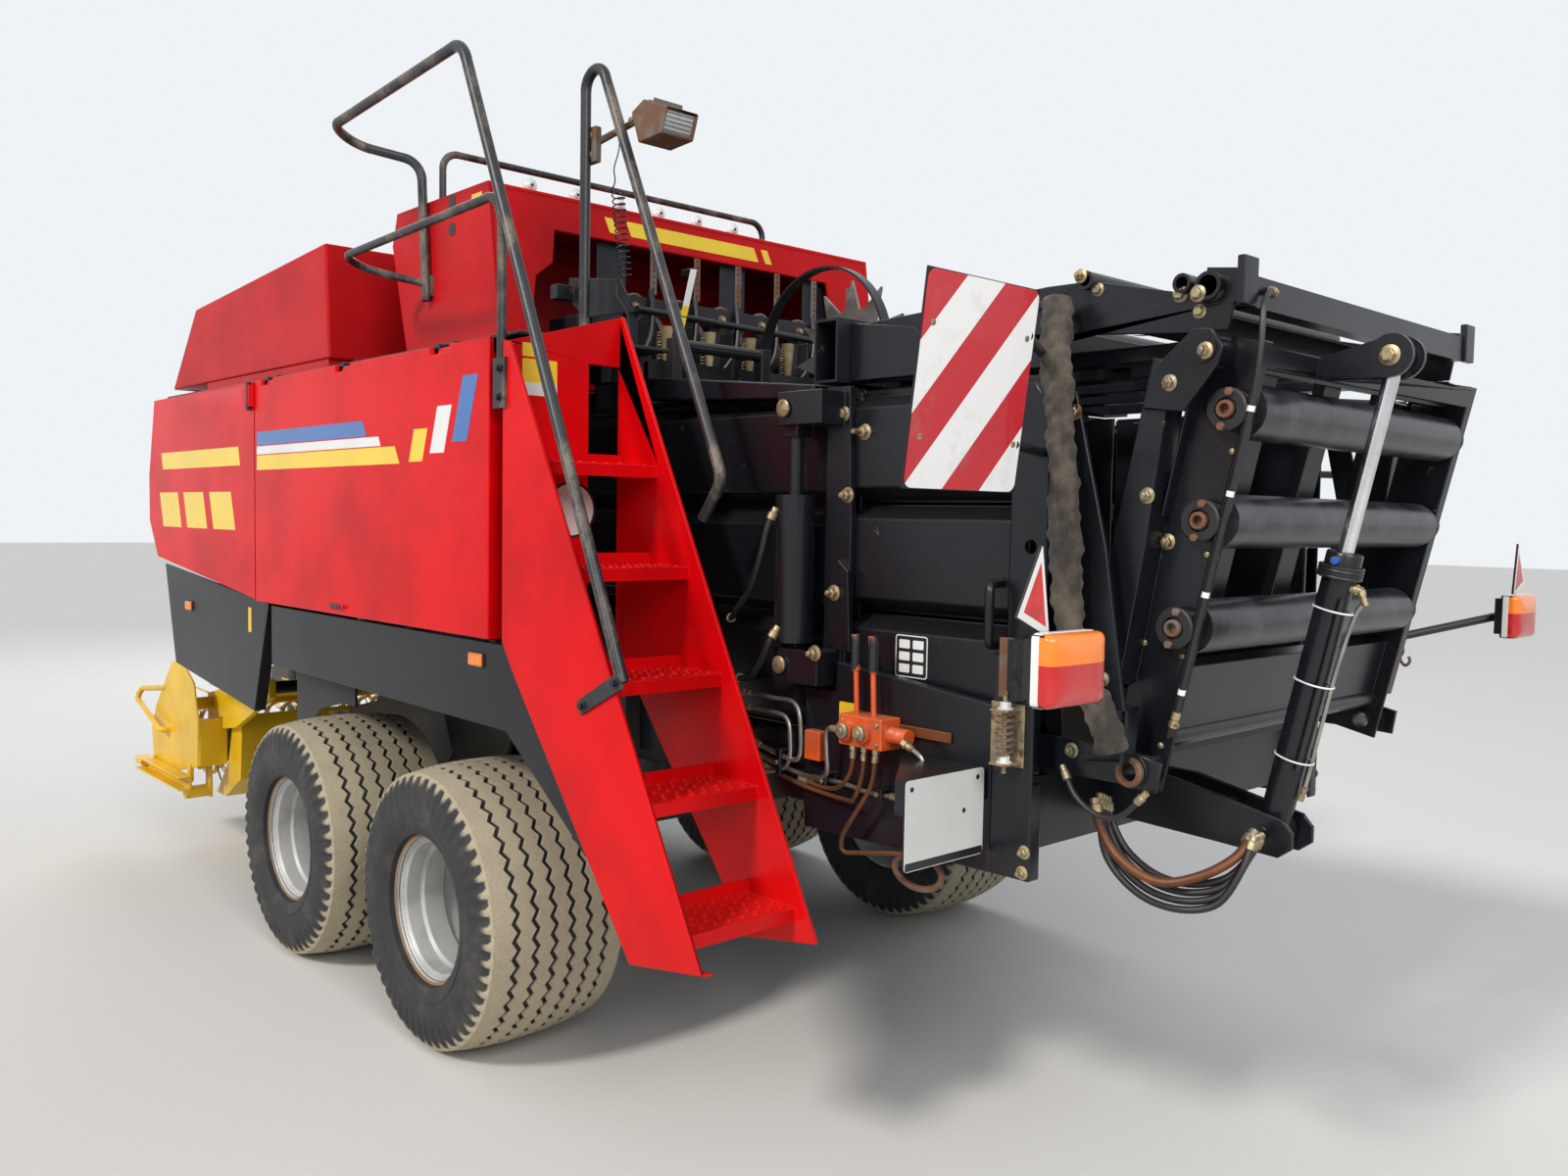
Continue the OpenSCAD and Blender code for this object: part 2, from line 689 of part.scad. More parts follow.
module front_hood() {
    w = hood_w / 2;
    t = sheet_t;
    z = deck_z + 76;
    color(red) at_tandem() difference() {
        side_plate([[685, z], [720, hood_top], [2262, hood_top - 90], [2615, z]], [-w, w]);
        side_plate([[685 + t, z - 1], [720 + t, hood_top - t], [2256, hood_top - 90 - t],
            [2615 - 1.4 * t, z - 1]], [-w + t, w - t]);
    }
    // plinth between deck and hood
    color(black) at_tandem() difference() {
        block([700, 2120], [-w + 6, w - 6], [deck_z, z]);
        block([708, 2112], [-w + 14, w - 14], [deck_z - 1, z + 1]);
    }
    color(black) at_tandem() difference() {
        block([2120, 2560], [-900, 900], [deck_z, z]);
        block([2119, 2552], [-892, 892], [deck_z - 1, z + 1]);
    }
}

// arch over the knotters, open to the rear below its band
module arch_hood() {
    w = arch_w / 2;
    t = sheet_t;
    top = arch_top;
    color(red) at_tandem() {
        both_sides() side_plate([[-385, deck_z], [-300, top - t], [387, top - t], [429, top - 117],
            [283, deck_z]], [w - t, w]);
        block([-300, 387], [-w, w], [top - t, top]);
        // rear face: a band across the top with a leg down each side
        translate([-298, 0, top - t]) rotate([0, 8, 0]) cross_plate([[-w + t, 10], [w - t, 10],
            [w - t, -585], [800, -585], [752, -290], [680, -232], [664, -116], [-664, -116],
            [-680, -232], [-752, -290], [-800, -585], [-w + t, -585]], [0, t]);
        translate([387 - t, 0, 0]) block([0, t], [-w + t, w - t], [top - 117, top - t]);
        block([290, 290 + t], [-w + t, w - t], [deck_z, top - 117]);
        block([290, 387], [-w + t, w - t], [top - 117, top - 117 + t]);
    }
}

// doors

module main_door() {
    color(red) at_tandem() {
        difference() {
            block([-door_back, split_x - gap], [skin_y, door_y], [door_lo, deck_z - 17]);
            for (x = door_hinges) {
                block([x - 20, x + 100], [skin_y - 1, door_y + 1], [door_pin[1] - 13, deck_z]);
            }
        }
        block([-door_back, -door_back + 14], [skin_y - 36, skin_y], [door_lo, deck_z - 60]);
        block([-door_back + 14, split_x - 20], [skin_y - 22, skin_y], [door_lo, door_lo + 14]);
        // handle and hinge knuckles
        bar([20, door_y + 6, door_lo + 30], [140, door_y + 6, door_lo + 30], 12);
        for (x = door_hinges) difference() {
            union() {
                translate([x, door_pin[0], door_pin[1]]) rotate([0, 90, 0]) cylinder(h = 80, d = 18);
                block([x, x + 80], [door_pin[0], skin_y + 2], [door_pin[1] - 19, door_pin[1]]);
            }
            translate([x - 1, door_pin[0], door_pin[1]]) rotate([0, 90, 0])
                cylinder(h = 82, d = 10 + 2 * fit);
        }
    }
}

module front_door() {
    color(red) at_tandem() {
        side_plate([[split_x, door_lo + 8], [split_x, deck_z - 17], [2150, deck_z - 22],
            [2240, 1850], [2240, 1637], [2120, 1470]], [skin_y, door_y]);
        for (z = front_hinges) difference() {
            union() {
                block([2190, 2262], [skin_y - 26, skin_y + 2], [z, z + 30]);
                translate([2262, skin_y - 20, z]) cylinder(h = 30, d = 26);
            }
            translate([2262, skin_y - 20, z - 1]) cylinder(h = 32, d = 12 + 2 * fit);
        }
        // latch box at the upper rear corner
        block([split_x + 6, split_x + 90], [door_y, door_y + 16], [2096, 2180]);
    }
}

module door_main_left() main_door();
module door_main_right() mirror([0, 1, 0]) main_door();
module door_front_left() front_door();
module door_front_right() mirror([0, 1, 0]) front_door();

// knotters

module knotters() {
    z = roof_z + plate_t;
    color(black) at_tandem() {
        bar([-330, -640, z + 260], [-330, 640, z + 260], 60);
        for (i = [-2.5:1:2.5]) {
            cross_pin([-330, z + 260], [i * 190 - 12, i * 190 + 12], 240);
            block([-470, -340], [i * 190 + 12, i * 190 + 60], [z + 100, z + 200]);
            block([-560, -430], [i * 190 - 60, i * 190 - 45], [z, z + 320]);
        }
        both_sides() block([-420, -240], [600, 640], [z, z + 330]);
        // shelf behind the knotters on its posts
        block([-640, -600], [-700, 860], [z + 330, z + 378]);
        for (y = [-560, -180, 200, 560]) block([-640, -600], [y - 25, y + 25], [z, z + 330]);
        both_sides() block([-640, -600], [600, 700], [z + 200, z + 330]);
        // twine guides: flat posts behind the arch's band
        for (y = [-700, -250, 330]) block([-272, -264], [y, y + 130], [z, arch_top - 30]);
        // bent side sheet, tucker arms and their shaft
        side_plate([[-980, 2320], [-700, 2330], [-610, 2400], [-610, 2470], [-900, 2430]], [790, 796]);
        block([-700, -640], [780, 796], [z + 335, z + 370]);
        both_sides() bar([-900, 180, 2250], [-900, 600, 2250], 40);
        both_sides() for (y = [180, 560]) block([-920, -880], [y, y + 40], [z, 2270]);
        for (y = [-500, -300, 300, 500]) {
            side_plate([[-910, 2235], [-890, 2235], [-800, z + 40], [-830, z + 10]], [y - 8, y + 8]);
        }
    }
}

star_at = [-1130, 2235];
star_r = 270;

module star_wheel() {
    color([0.35, 0.2, 0.12]) at_tandem() difference() {
        union() {
            cross_pin(star_at, [-6, 6], 350);
            for (a = [0:30:359]) translate([star_at[0], 6, star_at[1]]) rotate([90, a, 0])
                linear_extrude(12) polygon([[160, -38], [star_r, 0], [160, 38]]);
            cross_pin(star_at, [-30, 30], 60);
        }
        cross_pin(star_at, [-40, 40], 30 + 2 * fit);
    }
}

module star_hoop() {
    color(black) at_tandem() {
        cross_pin(star_at, [-120, 120], 30);
        both_sides() block([star_at[0] - 25, star_at[0] + 25], [100, 115],
            [roof_z + plate_t, star_at[1] + 30]);
        difference() {
            cross_pin(star_at, [115, 155], 2 * star_r + 52);
            cross_pin(star_at, [110, 160], 2 * star_r + 36);
            block([star_at[0] - 400, star_at[0] + 400], [100, 170], [1900, roof_z + plate_t]);
        }
    }
}

// ladder and rails

step_z = [690, 980, 1265, 1550, 1835];
function step_x(z) = -1055 - (2170 - z) * 0.535;

module ladder() {
    a = ladder_y[0];
    b = ladder_y[1];
    color(red) at_tandem() {
        side_plate([[-1025, 2180], [-1060, 2170], [-1935, 633], [-1655, 582], [-1080, 1260],
            [-1025, 1335]], [b - 12, b]);
        side_plate([[-1032, 2285], [-1052, 2285], [-1925, 620], [-1655, 570], [-1080, 1260],
            [-1032, 1335]], [a, a + 12]);
        // turned edge along the foot of each stringer
        side_plate([[-1935, 633], [-1655, 582], [-1658, 577], [-1938, 627]], [b - 40, b - 12]);
        for (z = step_z) {
            x = step_x(z);
            block([x, x + 190], [a + 12, b - 12], [z, z + 6]);
            block([x, x + 6], [a + 12, b - 12], [z - 30, z]);
            block([x + 184, x + 190], [a + 12, b - 12], [z + 6, z + 40]);
        }
        // riser, its opening beside the right stringer and the sloping header
        block([-1042, -1034], [a + 120, b - 12], [1340, 2140]);
        cross_plate([[a + 12, 2136], [b - 12, 2136], [b - 12, 2178], [a + 12, 2283]], [-1042, -1034]);
        block([-1034, -1025], [b - 40, b - 12], [1340, 2140]);
    }
}

module handrails() {
    z = rail_top;
    color(black) at_tandem() {
        bent_tube([[-1605, 1266, 1280], [-770, 1266, z], [430, 1200, z], [150, 938, 2960],
            [110, 938, 2460]], rail_d, 90);
        side_plate([[-1440, 1180], [-1425, 1215], [-1600, 1305], [-1625, 1270]], [1275, 1283]);
        side_plate([[-1050, 1990], [-985, 1990], [-985, 2130], [-1050, 2130]], [1275, 1283]);
        block([88, 132], [arch_w / 2, arch_w / 2 + 8], [2475, 2550]);
        bent_tube([[-1003, 1266, 2010], [-1003, 1266, 2590], [310, 1200, 2590],
            [110, 938, 2520]], rail_d - 6, 90);
        bent_tube([[-800, 860, deck_z], [-800, 860, 3250], [-1490, 860, 1800], [-1410, 862, 1690]],
            rail_d, 55);
    }
}

module guard_rail() {
    color(black) at_tandem() bent_tube([[50, 905, arch_top], [50, 905, 2985], [50, -620, 2985],
        [50, -620, arch_top]], 26);
}

module work_lamp() {
    color([0.3, 0.25, 0.2]) at_tandem() {
        // clamp on the rail, arm and tilted head
        difference() {
            block([-838, -776], [826, 850], [2790, 2900]);
            translate([-800, 860, 2780]) cylinder(h = 130, d = rail_d - 0.6);
        }
        bar([-818, 820, 2860], [-1010, 820, 2880], 20);
        bar([-1004, 820, 2882], [-1090, 820, 2835], 18);
        difference() {
            side_plate([[-1070, 2880], [-1105, 2785], [-1215, 2790], [-1240, 2860], [-1130, 2905]],
                [760, 880]);
            side_plate([[-1206, 2800], [-1250, 2800], [-1250, 2860], [-1228, 2856]], [770, 870]);
        }
    }
}

// rear equipment

module warning_boards() {
    color("white") at_tandem() both_sides()
        translate([-2545, 945, 1757]) rotate([0, -7.5, 0]) block([0, 4], [0, 345], [0, 415]);
    color(black) at_tandem() both_sides() {
        for (h = [100, 320]) {
            bar([-2430, 695, 1757 + h], [-2540 - h * 0.13, 960, 1757 + h], 22);
        }
    }
}

module rear_lamps() {
    color([0.8, 0.15, 0.05]) at_tandem() both_sides() {
        block([-2862, -2832], [1095, 1265], [1372, 1500]);
        block([-2832, -2812], [1105, 1255], [1382, 1490]);
        cross_plate([[1205, 1490], [1300, 1531], [1232, 1656]], [-2830, -2824]);
        block([-2450, -2400], [732, 756], [1320, 1385]);
        bent_tube([[-2425, 750, 1350], [-2560, 900, 1350], [-2795, 1150, 1430], [-2822, 1180, 1430]], 26, 50);
    }
}

module valve_block() {
    color([0.9, 0.3, 0.05]) at_tandem() {
        block([-2050, -1900], [728, 800], [1120, 1200]);
        for (x = [-1990, -1930]) {
            translate([x, 800, 1160]) rotate([-90, 0, 0]) cylinder(h = 14, d = 52);
            bar([x, 764, 1195], [x + 10, 764, 1400], 14);
            bar([x + 6, 764, 1310], [x + 10, 764, 1402], 22);
        }
        bar([-2045, 764, 1160], [-2110, 764, 1160], 40);
        // hydraulic block beside it
        block([-1790, -1730], [728, 760], [1050, 1130]);
    }
}

module number_plate() {
    color("white") at_tandem() block([-2326, -2320], [742, 1014], [916, 1120]);
    // box bracket from the side sheet
    color(black) at_tandem() difference() {
        flat_plate([[-2060, 728], [-2320, 728], [-2320, 1010], [-2290, 1010]], [1040, 1116]);
        flat_plate([[-2085, 727], [-2312, 727], [-2312, 990], [-2296, 990]], [1030, 1108]);
    }
}

// bale chute

rollers_u = [for (i = [0:2]) 330 + i * roller_pitch];

module chute_frame() {
    y = chute_y;
    bars_a = roller_d / 2 + 6;
    color(black) on_chute() {
        both_sides() {
            // channel with its web to the rollers, bored for their gudgeons
            difference() {
                union() {
                    block([-45, 96], [y[0], y[0] + 10], [-40, chute_len - 70]);
                    block([-45, 45], [y[0], y[0] + 10], [-40, chute_len]);
                    block([-45, -37], [y[0] + 10, y[1] - 2], [90, chute_len]);
                    for (u = rollers_u) cross_pin([0, u], [y[0] + 10, y[1] - 6], 84);
                }
                for (u = rollers_u) cross_pin([0, u], [y[0] - 10, 700], 40);
                cross_pin([0, 0], [y[0] - 10, 700], 60);
            }
            // column ahead of the channel, with the strap of the upper tube
            difference() {
                side_plate([[78, 180], [92, 172], [174, 460], [176, 890], [125, 885], [91, 486]],
                    [y[0] + 10, 640]);
                side_plate([[100, 260], [164, 470], [166, 880], [135, 878], [101, 486]],
                    [y[0] + 20, 630]);
            }
            block([90, 96], [y[0] + 10, y[1]], [560, 880]);
            side_plate([[70, 790], [165, 780], [160, 870], [90, 962], [50, 968], [14, 935], [18, 895]],
                [640, 652]);
        }
        cross_pin([56, 924], [-656, 656], 60);
        cross_pin([0, 68], [-y[0], y[0]], 46);
        // panel below the rollers with its lip
        block([-6, 0], [-y[0], y[0]], [84, 236]);
        block([0, 40], [-y[0], y[0]], [228, 236]);
        block([-45, 45], [-y[0], y[0]], [905, 950]);
        for (s = [-330, 0, 330]) block([bars_a, bars_a + 30], [s - 45, s + 45], [236, 900]);
        for (u = [300, 540]) block([bars_a, bars_a + 6], [-y[0], y[0]], [u, u + 60]);
        block([0, bars_a + 6], [-y[0], y[0]], [895, 905]);
        for (s = [-1, 1]) translate([0, cyl_y + s * 31, 0]) difference() {
            union() {
                side_plate([[-44, 905], [-44, 950], [eye_u[0], eye_u[1] + lug_r],
                    [eye_u[0], eye_u[1] - lug_r]], [-6, 6]);
                cross_pin(eye_u, [-6, 6], 2 * lug_r);
            }
            cross_pin(eye_u, [-10, 10], 30);
        }
    }
}

module chute_roller(u) {
    color([0.12, 0.12, 0.13]) on_chute() {
        cross_pin([0, u], [-roller_half, roller_half], roller_d);
        cross_pin([0, u], [-roller_half - 52, roller_half + 52], 40 - fit);
    }
}
module roller_low() chute_roller(rollers_u[0]);
module roller_mid() chute_roller(rollers_u[1]);
module roller_top() chute_roller(rollers_u[2]);

// the cylinder's own frame: origin at its foot, +Z towards the rod's eye
cyl_v = [rod_eye[0] - cyl_foot[0], rod_eye[1] - cyl_foot[1]];
cyl_len = norm(cyl_v);
module on_cylinder() {
    at_tandem() translate([cyl_foot[0], cyl_y, cyl_foot[1]])
        rotate([0, atan2(cyl_v[0], cyl_v[1]), 0]) children();
}
stroke = 330;

module chute_barrel() {
    color(black) on_cylinder() difference() {
        union() {
            cross_pin([0, 0], [-38, 38], 80);
            cylinder(h = cyl_len - stroke - 100, d = barrel_d);
        }
        translate([0, 0, 60]) cylinder(h = 2000, d = rod_d + 2 * fit);
        cross_pin([0, 0], [-60, 60], 34 + 2 * fit);
    }
}

module chute_rod() {
    color([0.8, 0.8, 0.82]) on_cylinder() {
        translate([0, 0, cyl_len - stroke - 300]) cylinder(h = stroke + 300, d = rod_d);
        cross_pin([0, cyl_len], [-17, 17], 60);
        cross_pin([0, cyl_len], [-24.7, 24.7], 28);
    }
}

// wheels

module tyre(x, side) {
    ro = tyre_r;
    ri = rim_d / 2;
    w = tyre_w / 2;
    // circumferential grooves
    tread = [for (g = [-3:2]) let (y = (g + 0.5) * tyre_w * 0.13)
        each [[ro, y - 6], [ro - 12, y - 6], [ro - 12, y + 6], [ro, y + 6]]];
    color([0.05, 0.05, 0.05]) at_tandem() translate([x, side * track / 2, axle_z]) rotate([-90, 0, 0])
        rotate_extrude($fn = 96) polygon(concat(
            [[ri, -w * 0.8], [ri + 14, -w * 0.8], [ri + 22, -w * 0.88], [ri + 80, -w * 0.99],
                [ro - 110, -w], [ro - 45, -w * 0.96], [ro - 10, -w * 0.86]],
            tread,
            [[ro - 10, w * 0.86], [ro - 45, w * 0.96], [ro - 110, w], [ri + 80, w * 0.99],
                [ri + 22, w * 0.88], [ri + 14, w * 0.8], [ri, w * 0.8]]));
}

// deep-dished rim, its dish open to the outside
module rim(x, side) {
    ri = rim_d / 2;
    w = tyre_w / 2;
    color([0.75, 0.75, 0.75]) at_tandem() translate([x, side * track / 2, axle_z])
        rotate([-90 * side, 0, 0]) difference() {
            rotate_extrude($fn = 96) polygon([[ri, -w * 0.8], [ri, w * 0.8], [ri + 12, w * 0.8],
                [ri + 13, w * 0.85], [ri - 4, w * 0.86], [ri - 12, w * 0.78], [ri - 16, 70],
                [ri - 60, 26], [110, 30], [104, 84], [70, 96], [0, 96], [0, -40], [100, -40],
                [104, 8], [ri - 50, 6], [ri - 16, 40], [ri - 12, -w * 0.78], [ri - 4, -w * 0.86],
                [ri + 13, -w * 0.85], [ri + 12, -w * 0.8]]);
            translate([0, 0, -60]) cylinder(h = 130, d = spindle_d + 2 * fit);
            for (a = [0:45:359]) rotate([0, 0, a]) translate([ri - 85, 0, -20]) cylinder(h = 90, d = 30);
        }
}

module tyre_front_left() tyre(wheelbase / 2, 1);
module tyre_rear_left() tyre(-wheelbase / 2, 1);
module tyre_front_right() tyre(wheelbase / 2, -1);
module tyre_rear_right() tyre(-wheelbase / 2, -1);
module rim_front_left() rim(wheelbase / 2, 1);
module rim_rear_left() rim(-wheelbase / 2, 1);
module rim_front_right() rim(wheelbase / 2, -1);
module rim_rear_right() rim(-wheelbase / 2, -1);

frame();
rockers();
chamber_walls();
chamber_floor();
chamber_roof();
tension_doors();
tension_cylinders();
top_frame();
rear_stays();
drive_block();
flywheel();
plunger();
drawbar();
tow_eye();
jack_body();
jack_leg();
pto_shaft();
feeder();
needle_yoke();
pickup_frame();
pickup_shields();
pickup_reel();
outriggers();
skirts();
twine_racks();
deck();
nose();
front_hood();
arch_hood();
door_main_left();
door_main_right();
door_front_left();
door_front_right();
knotters();
star_wheel();
star_hoop();
ladder();
handrails();
guard_rail();
work_lamp();
warning_boards();
rear_lamps();
valve_block();
number_plate();
chute_frame();
roller_low();
roller_mid();
roller_top();
chute_barrel();
chute_rod();
tyre_front_left();
tyre_rear_left();
tyre_front_right();
tyre_rear_right();
rim_front_left();
rim_rear_left();
rim_front_right();
rim_rear_right();
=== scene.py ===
"""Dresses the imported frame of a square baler: paint, wheels, hoses, bolts, signs, lamps and the stage."""

import functools
import itertools
import json
import math

import bmesh
import bpy
import numpy as np
from mathutils import Matrix, Vector
from mathutils.bvhtree import BVHTree

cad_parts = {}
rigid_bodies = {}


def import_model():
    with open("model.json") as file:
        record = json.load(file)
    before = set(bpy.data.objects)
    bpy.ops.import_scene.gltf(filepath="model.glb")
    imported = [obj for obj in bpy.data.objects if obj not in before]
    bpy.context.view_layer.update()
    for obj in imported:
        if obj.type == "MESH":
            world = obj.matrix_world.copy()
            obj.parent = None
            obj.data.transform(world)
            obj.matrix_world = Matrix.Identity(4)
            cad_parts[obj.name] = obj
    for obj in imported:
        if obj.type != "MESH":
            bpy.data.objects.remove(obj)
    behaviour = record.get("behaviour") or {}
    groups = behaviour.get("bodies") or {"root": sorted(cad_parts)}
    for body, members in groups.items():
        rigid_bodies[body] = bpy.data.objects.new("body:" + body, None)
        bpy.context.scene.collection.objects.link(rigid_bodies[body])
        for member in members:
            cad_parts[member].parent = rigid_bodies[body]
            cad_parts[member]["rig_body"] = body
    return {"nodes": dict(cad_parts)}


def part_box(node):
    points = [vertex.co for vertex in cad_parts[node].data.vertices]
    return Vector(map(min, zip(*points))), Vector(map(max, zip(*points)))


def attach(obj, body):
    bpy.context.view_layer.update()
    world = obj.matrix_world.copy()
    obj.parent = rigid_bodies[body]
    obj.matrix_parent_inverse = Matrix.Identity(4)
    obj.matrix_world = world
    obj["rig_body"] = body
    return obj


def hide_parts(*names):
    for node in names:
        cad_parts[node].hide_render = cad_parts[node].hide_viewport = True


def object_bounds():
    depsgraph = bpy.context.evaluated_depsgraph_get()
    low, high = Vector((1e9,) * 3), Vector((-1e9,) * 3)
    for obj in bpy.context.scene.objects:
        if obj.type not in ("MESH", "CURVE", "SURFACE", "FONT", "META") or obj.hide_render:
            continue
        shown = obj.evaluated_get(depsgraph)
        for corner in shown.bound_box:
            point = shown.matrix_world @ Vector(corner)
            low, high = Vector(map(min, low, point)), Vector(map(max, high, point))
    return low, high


bl_info = {
    "name": "Square baler",
    "version": (1, 0, 0),
    "blender": (4, 5, 0),
    "location": "3D View > Sidebar > Baler",
    "description": "Builds the finished look of a square baler on its packed frame",
    "category": "Object",
}

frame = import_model()
CAD_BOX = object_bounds()
FINISH = {}


def middle(node):
    """Middle of a CAD node's box, in the row's frame."""
    low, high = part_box(node)
    return (np.array(low) + np.array(high)) / 2


# the machine's own frame has its zero between the axles; the row's frame lies TANDEM from it
TANDEM = np.array([(middle("tyre_front_left")[0] + middle("tyre_rear_left")[0]) / 2, 0.0, 0.0])
X, Y, Z = np.eye(3)


# surfaces


def unit(v):
    """Vector or rows of vectors divided by their lengths."""
    v = np.asarray(v, float)
    return v / np.linalg.norm(v, axis=-1, keepdims=True)


def square_to(axis):
    """Two unit vectors at right angles to an axis and to each other."""
    axis = unit(axis)
    helper = Z if abs(axis[2]) < 0.9 else X
    side = unit(np.cross(helper, axis))
    return side, np.cross(axis, side)


def rearward(up):
    """Way that a sheet across the machine faces, from the way up its slope."""
    return -np.cross(Y, unit(up))


def spoke(angle):
    """Unit vectors in the machine's upright plane, at angles from straight ahead."""
    return np.stack([np.cos(angle), 0 * angle, np.sin(angle)], -1)


def around(sides):
    """Angles that share out a full turn."""
    return np.linspace(0, 2 * math.pi, sides, endpoint=False)


def quads(rows, columns, ring_rows=False, ring_columns=False):
    """Faces of a grid of rows x columns points, closed round where asked."""
    i = np.arange(rows if ring_rows else rows - 1)[:, None]
    j = np.arange(columns if ring_columns else columns - 1)[None, :]
    i2, j2 = (i + 1) % rows, (j + 1) % columns
    corners = [i * columns + j, i2 * columns + j, i2 * columns + j2, i * columns + j2]
    return np.stack(corners, -1).reshape(-1, 4)


# a box with cut corners: point 3 * corner + axis stands full out along its axis and is drawn in by
# the cut along the two others
CORNERS = np.array(list(itertools.product((-1, 1), repeat=3)))
CUTS = 1 - np.eye(3)


def box_faces():
    """Faces of the box with cut corners, as lists of those with three and with four points.

    A face looks along each direction of -1, 0 and 1. It has the points that lie furthest that way, in
    the order of their angle round it."""
    points = (CORNERS[:, None] * (1 - 0.1 * CUTS)).reshape(-1, 3)
    faces = {3: [], 4: []}
    for way in itertools.product((-1, 0, 1), repeat=3):
        if any(way):
            far = points @ way
            face = np.flatnonzero(far > far.max() - 0.01)
            side, up = square_to(way)
            turn = np.arctan2(points[face] @ up, points[face] @ side)
            faces[len(face)].append(face[np.argsort(turn)])
    return [np.array(kind) for kind in faces.values()]


BOX_FACES = box_faces()


class Shape:
    """Joins patches, in the machine's frame, into one piece.

    A patch has a finish, named by its key in FINISH. Where none is given it is the shape's own."""

    def __init__(self, finish):
        self.finish, self.patches = finish, []

    def mirrored(self):
        """The same patches on the machine's other side."""
        other = Shape(self.finish)
        other.patches = [(points * (1, -1, 1), *rest) for points, *rest in self.patches]
        return other

    def both(self):
        """Adds the mirror image of all patches so far, so that the shape stands on both sides."""
        self.patches += self.mirrored().patches
        return self

    def add(self, points, faces, finish=None, mark=0.0):
        """One patch: points (n, 3), faces (k, 3 or 4), its finish, and the mark that a finish can read."""
        points = np.asarray(points, float).reshape(-1, 3)
        mark = np.broadcast_to(np.ravel(mark), len(points))
        self.patches.append((points, faces, finish or self.finish, mark))
        return self

    def grid(self, points, ring_rows=False, ring_columns=False, finish=None, mark=0.0):
        """A surface from a grid of points (rows, columns, 3)."""
        return self.add(points, quads(*points.shape[:2], ring_rows, ring_columns), finish, mark)

    def lathe(self, at, axis, profile, sides=24, finish=None, mark=0.0, ends="closed"):
        """Turned body: rows of (distance along the axis, radius) carried round the axis through at.

        Its ends are closed flat, or joined to each other as a ring, or open round what runs through it."""
        profile = np.asarray(profile, float)
        if ends == "closed":
            poles = profile[[0, -1]] * (1, 0)
            profile = np.vstack([poles[:1], profile, poles[1:]])
            mark = np.pad(np.broadcast_to(mark, len(profile) - 2), 1, "edge")
        side, up = square_to(axis)
        angle = around(sides)[:, None]
        far, radius = profile.T[:, :, None, None]
        points = at + far * unit(axis) + radius * (np.cos(angle) * side + np.sin(angle) * up)
        mark = np.broadcast_to(np.reshape(mark, (-1, 1)), points.shape[:2])
        return self.grid(points, ends == "joined", True, finish, mark)

    def loft(self, rings, finish=None):
        """A body through rings of points, one after another, with a flat cap at each end."""
        ends = np.stack([rings[0].mean(0), rings[-1].mean(0)])[:, None]
        poles = np.broadcast_to(ends, (2, *rings.shape[1:]))
        return self.grid(np.concatenate([poles[:1], rings, poles[1:]]), False, True, finish)

    def tube(self, path, radius, sides=10, finish=None):
        """A round section carried along a path, its frame turned from point to point, with flat ends.

        The radius is one value, or one for each point of the path and each side."""
        path = np.asarray(path, float)
        along = unit(np.gradient(path, axis=0))
        side = [square_to(along[0])[0]]
        for way in along[1:]:
            side.append(unit(side[-1] - (side[-1] @ way) * way))
        side = np.stack(side)
        up = np.cross(along, side)
        angle = around(sides)[:, None]
        ring = np.cos(angle) * side[:, None] + np.sin(angle) * up[:, None]
        radius = np.broadcast_to(radius, (len(path), sides))[..., None]
        return self.loft(path[:, None] + radius * ring, finish)

    def plate(self, outline, normal, thick, finish=None):
        """A flat plate: a convex outline of points pushed along the normal."""
        outline = np.asarray(outline, float)
        return self.loft(np.stack([outline, outline + unit(normal) * thick]), finish)

    def block(self, low, high, cut=0.003, finish=None):
        """A box from its low to its high corner, its edges and corners cut off."""
        low, high = np.array([low, high])
        cut = min(cut, *(0.45 * (high - low)))
        points = (low + high) / 2 + CORNERS[:, None] * ((high - low) / 2 - cut * CUTS)
        for faces in BOX_FACES:
            self.add(points, faces, finish)
        return self

    def piece(self, name, body, slot, replaces=(), smooth=35.0):
        """Puts the patches into one mesh, at its place in the row's frame, and places it in the scene.

        Doubled points are merged, which closes seams and poles, and all faces are turned outwards."""
        points, faces, finishes, marks = zip(*self.patches)
        starts = np.cumsum([0, *map(len, points[:-1])])
        keys = list(dict.fromkeys(finishes))
        mesh = bpy.data.meshes.new(name)
        corners = itertools.chain(*((patch + start).tolist() for patch, start in zip(faces, starts)))
        mesh.from_pydata(np.vstack(points) + TANDEM, [], list(corners))
        painted = np.repeat([keys.index(finish) for finish in finishes], [*map(len, faces)])
        mesh.polygons.foreach_set("material_index", painted)
        mark = mesh.attributes.new("mark", "FLOAT", "POINT")
        mark.data.foreach_set("value", np.concatenate(marks))
        work = bmesh.new()
        work.from_mesh(mesh)
        bmesh.ops.remove_doubles(work, verts=work.verts, dist=1e-6)
        bmesh.ops.recalc_face_normals(work, faces=work.faces)
        work.to_mesh(mesh)
        work.free()
        return put(mesh, keys, body, replaces, smooth)


def put(mesh, finishes, body, replaces=(), smooth=35.0):
    """Places a mesh in the scene: its finishes, its body and the nodes that it stands for."""
    mesh.shade_smooth()
    mesh.set_sharp_from_angle(angle=math.radians(smooth))
    for finish in finishes:
        mesh.materials.append(FINISH[finish])
    item = bpy.data.objects.new(mesh.name, mesh)
    bpy.context.scene.collection.objects.link(item)
    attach(item, body)
    for node in replaces:
        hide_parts(node)
    return item


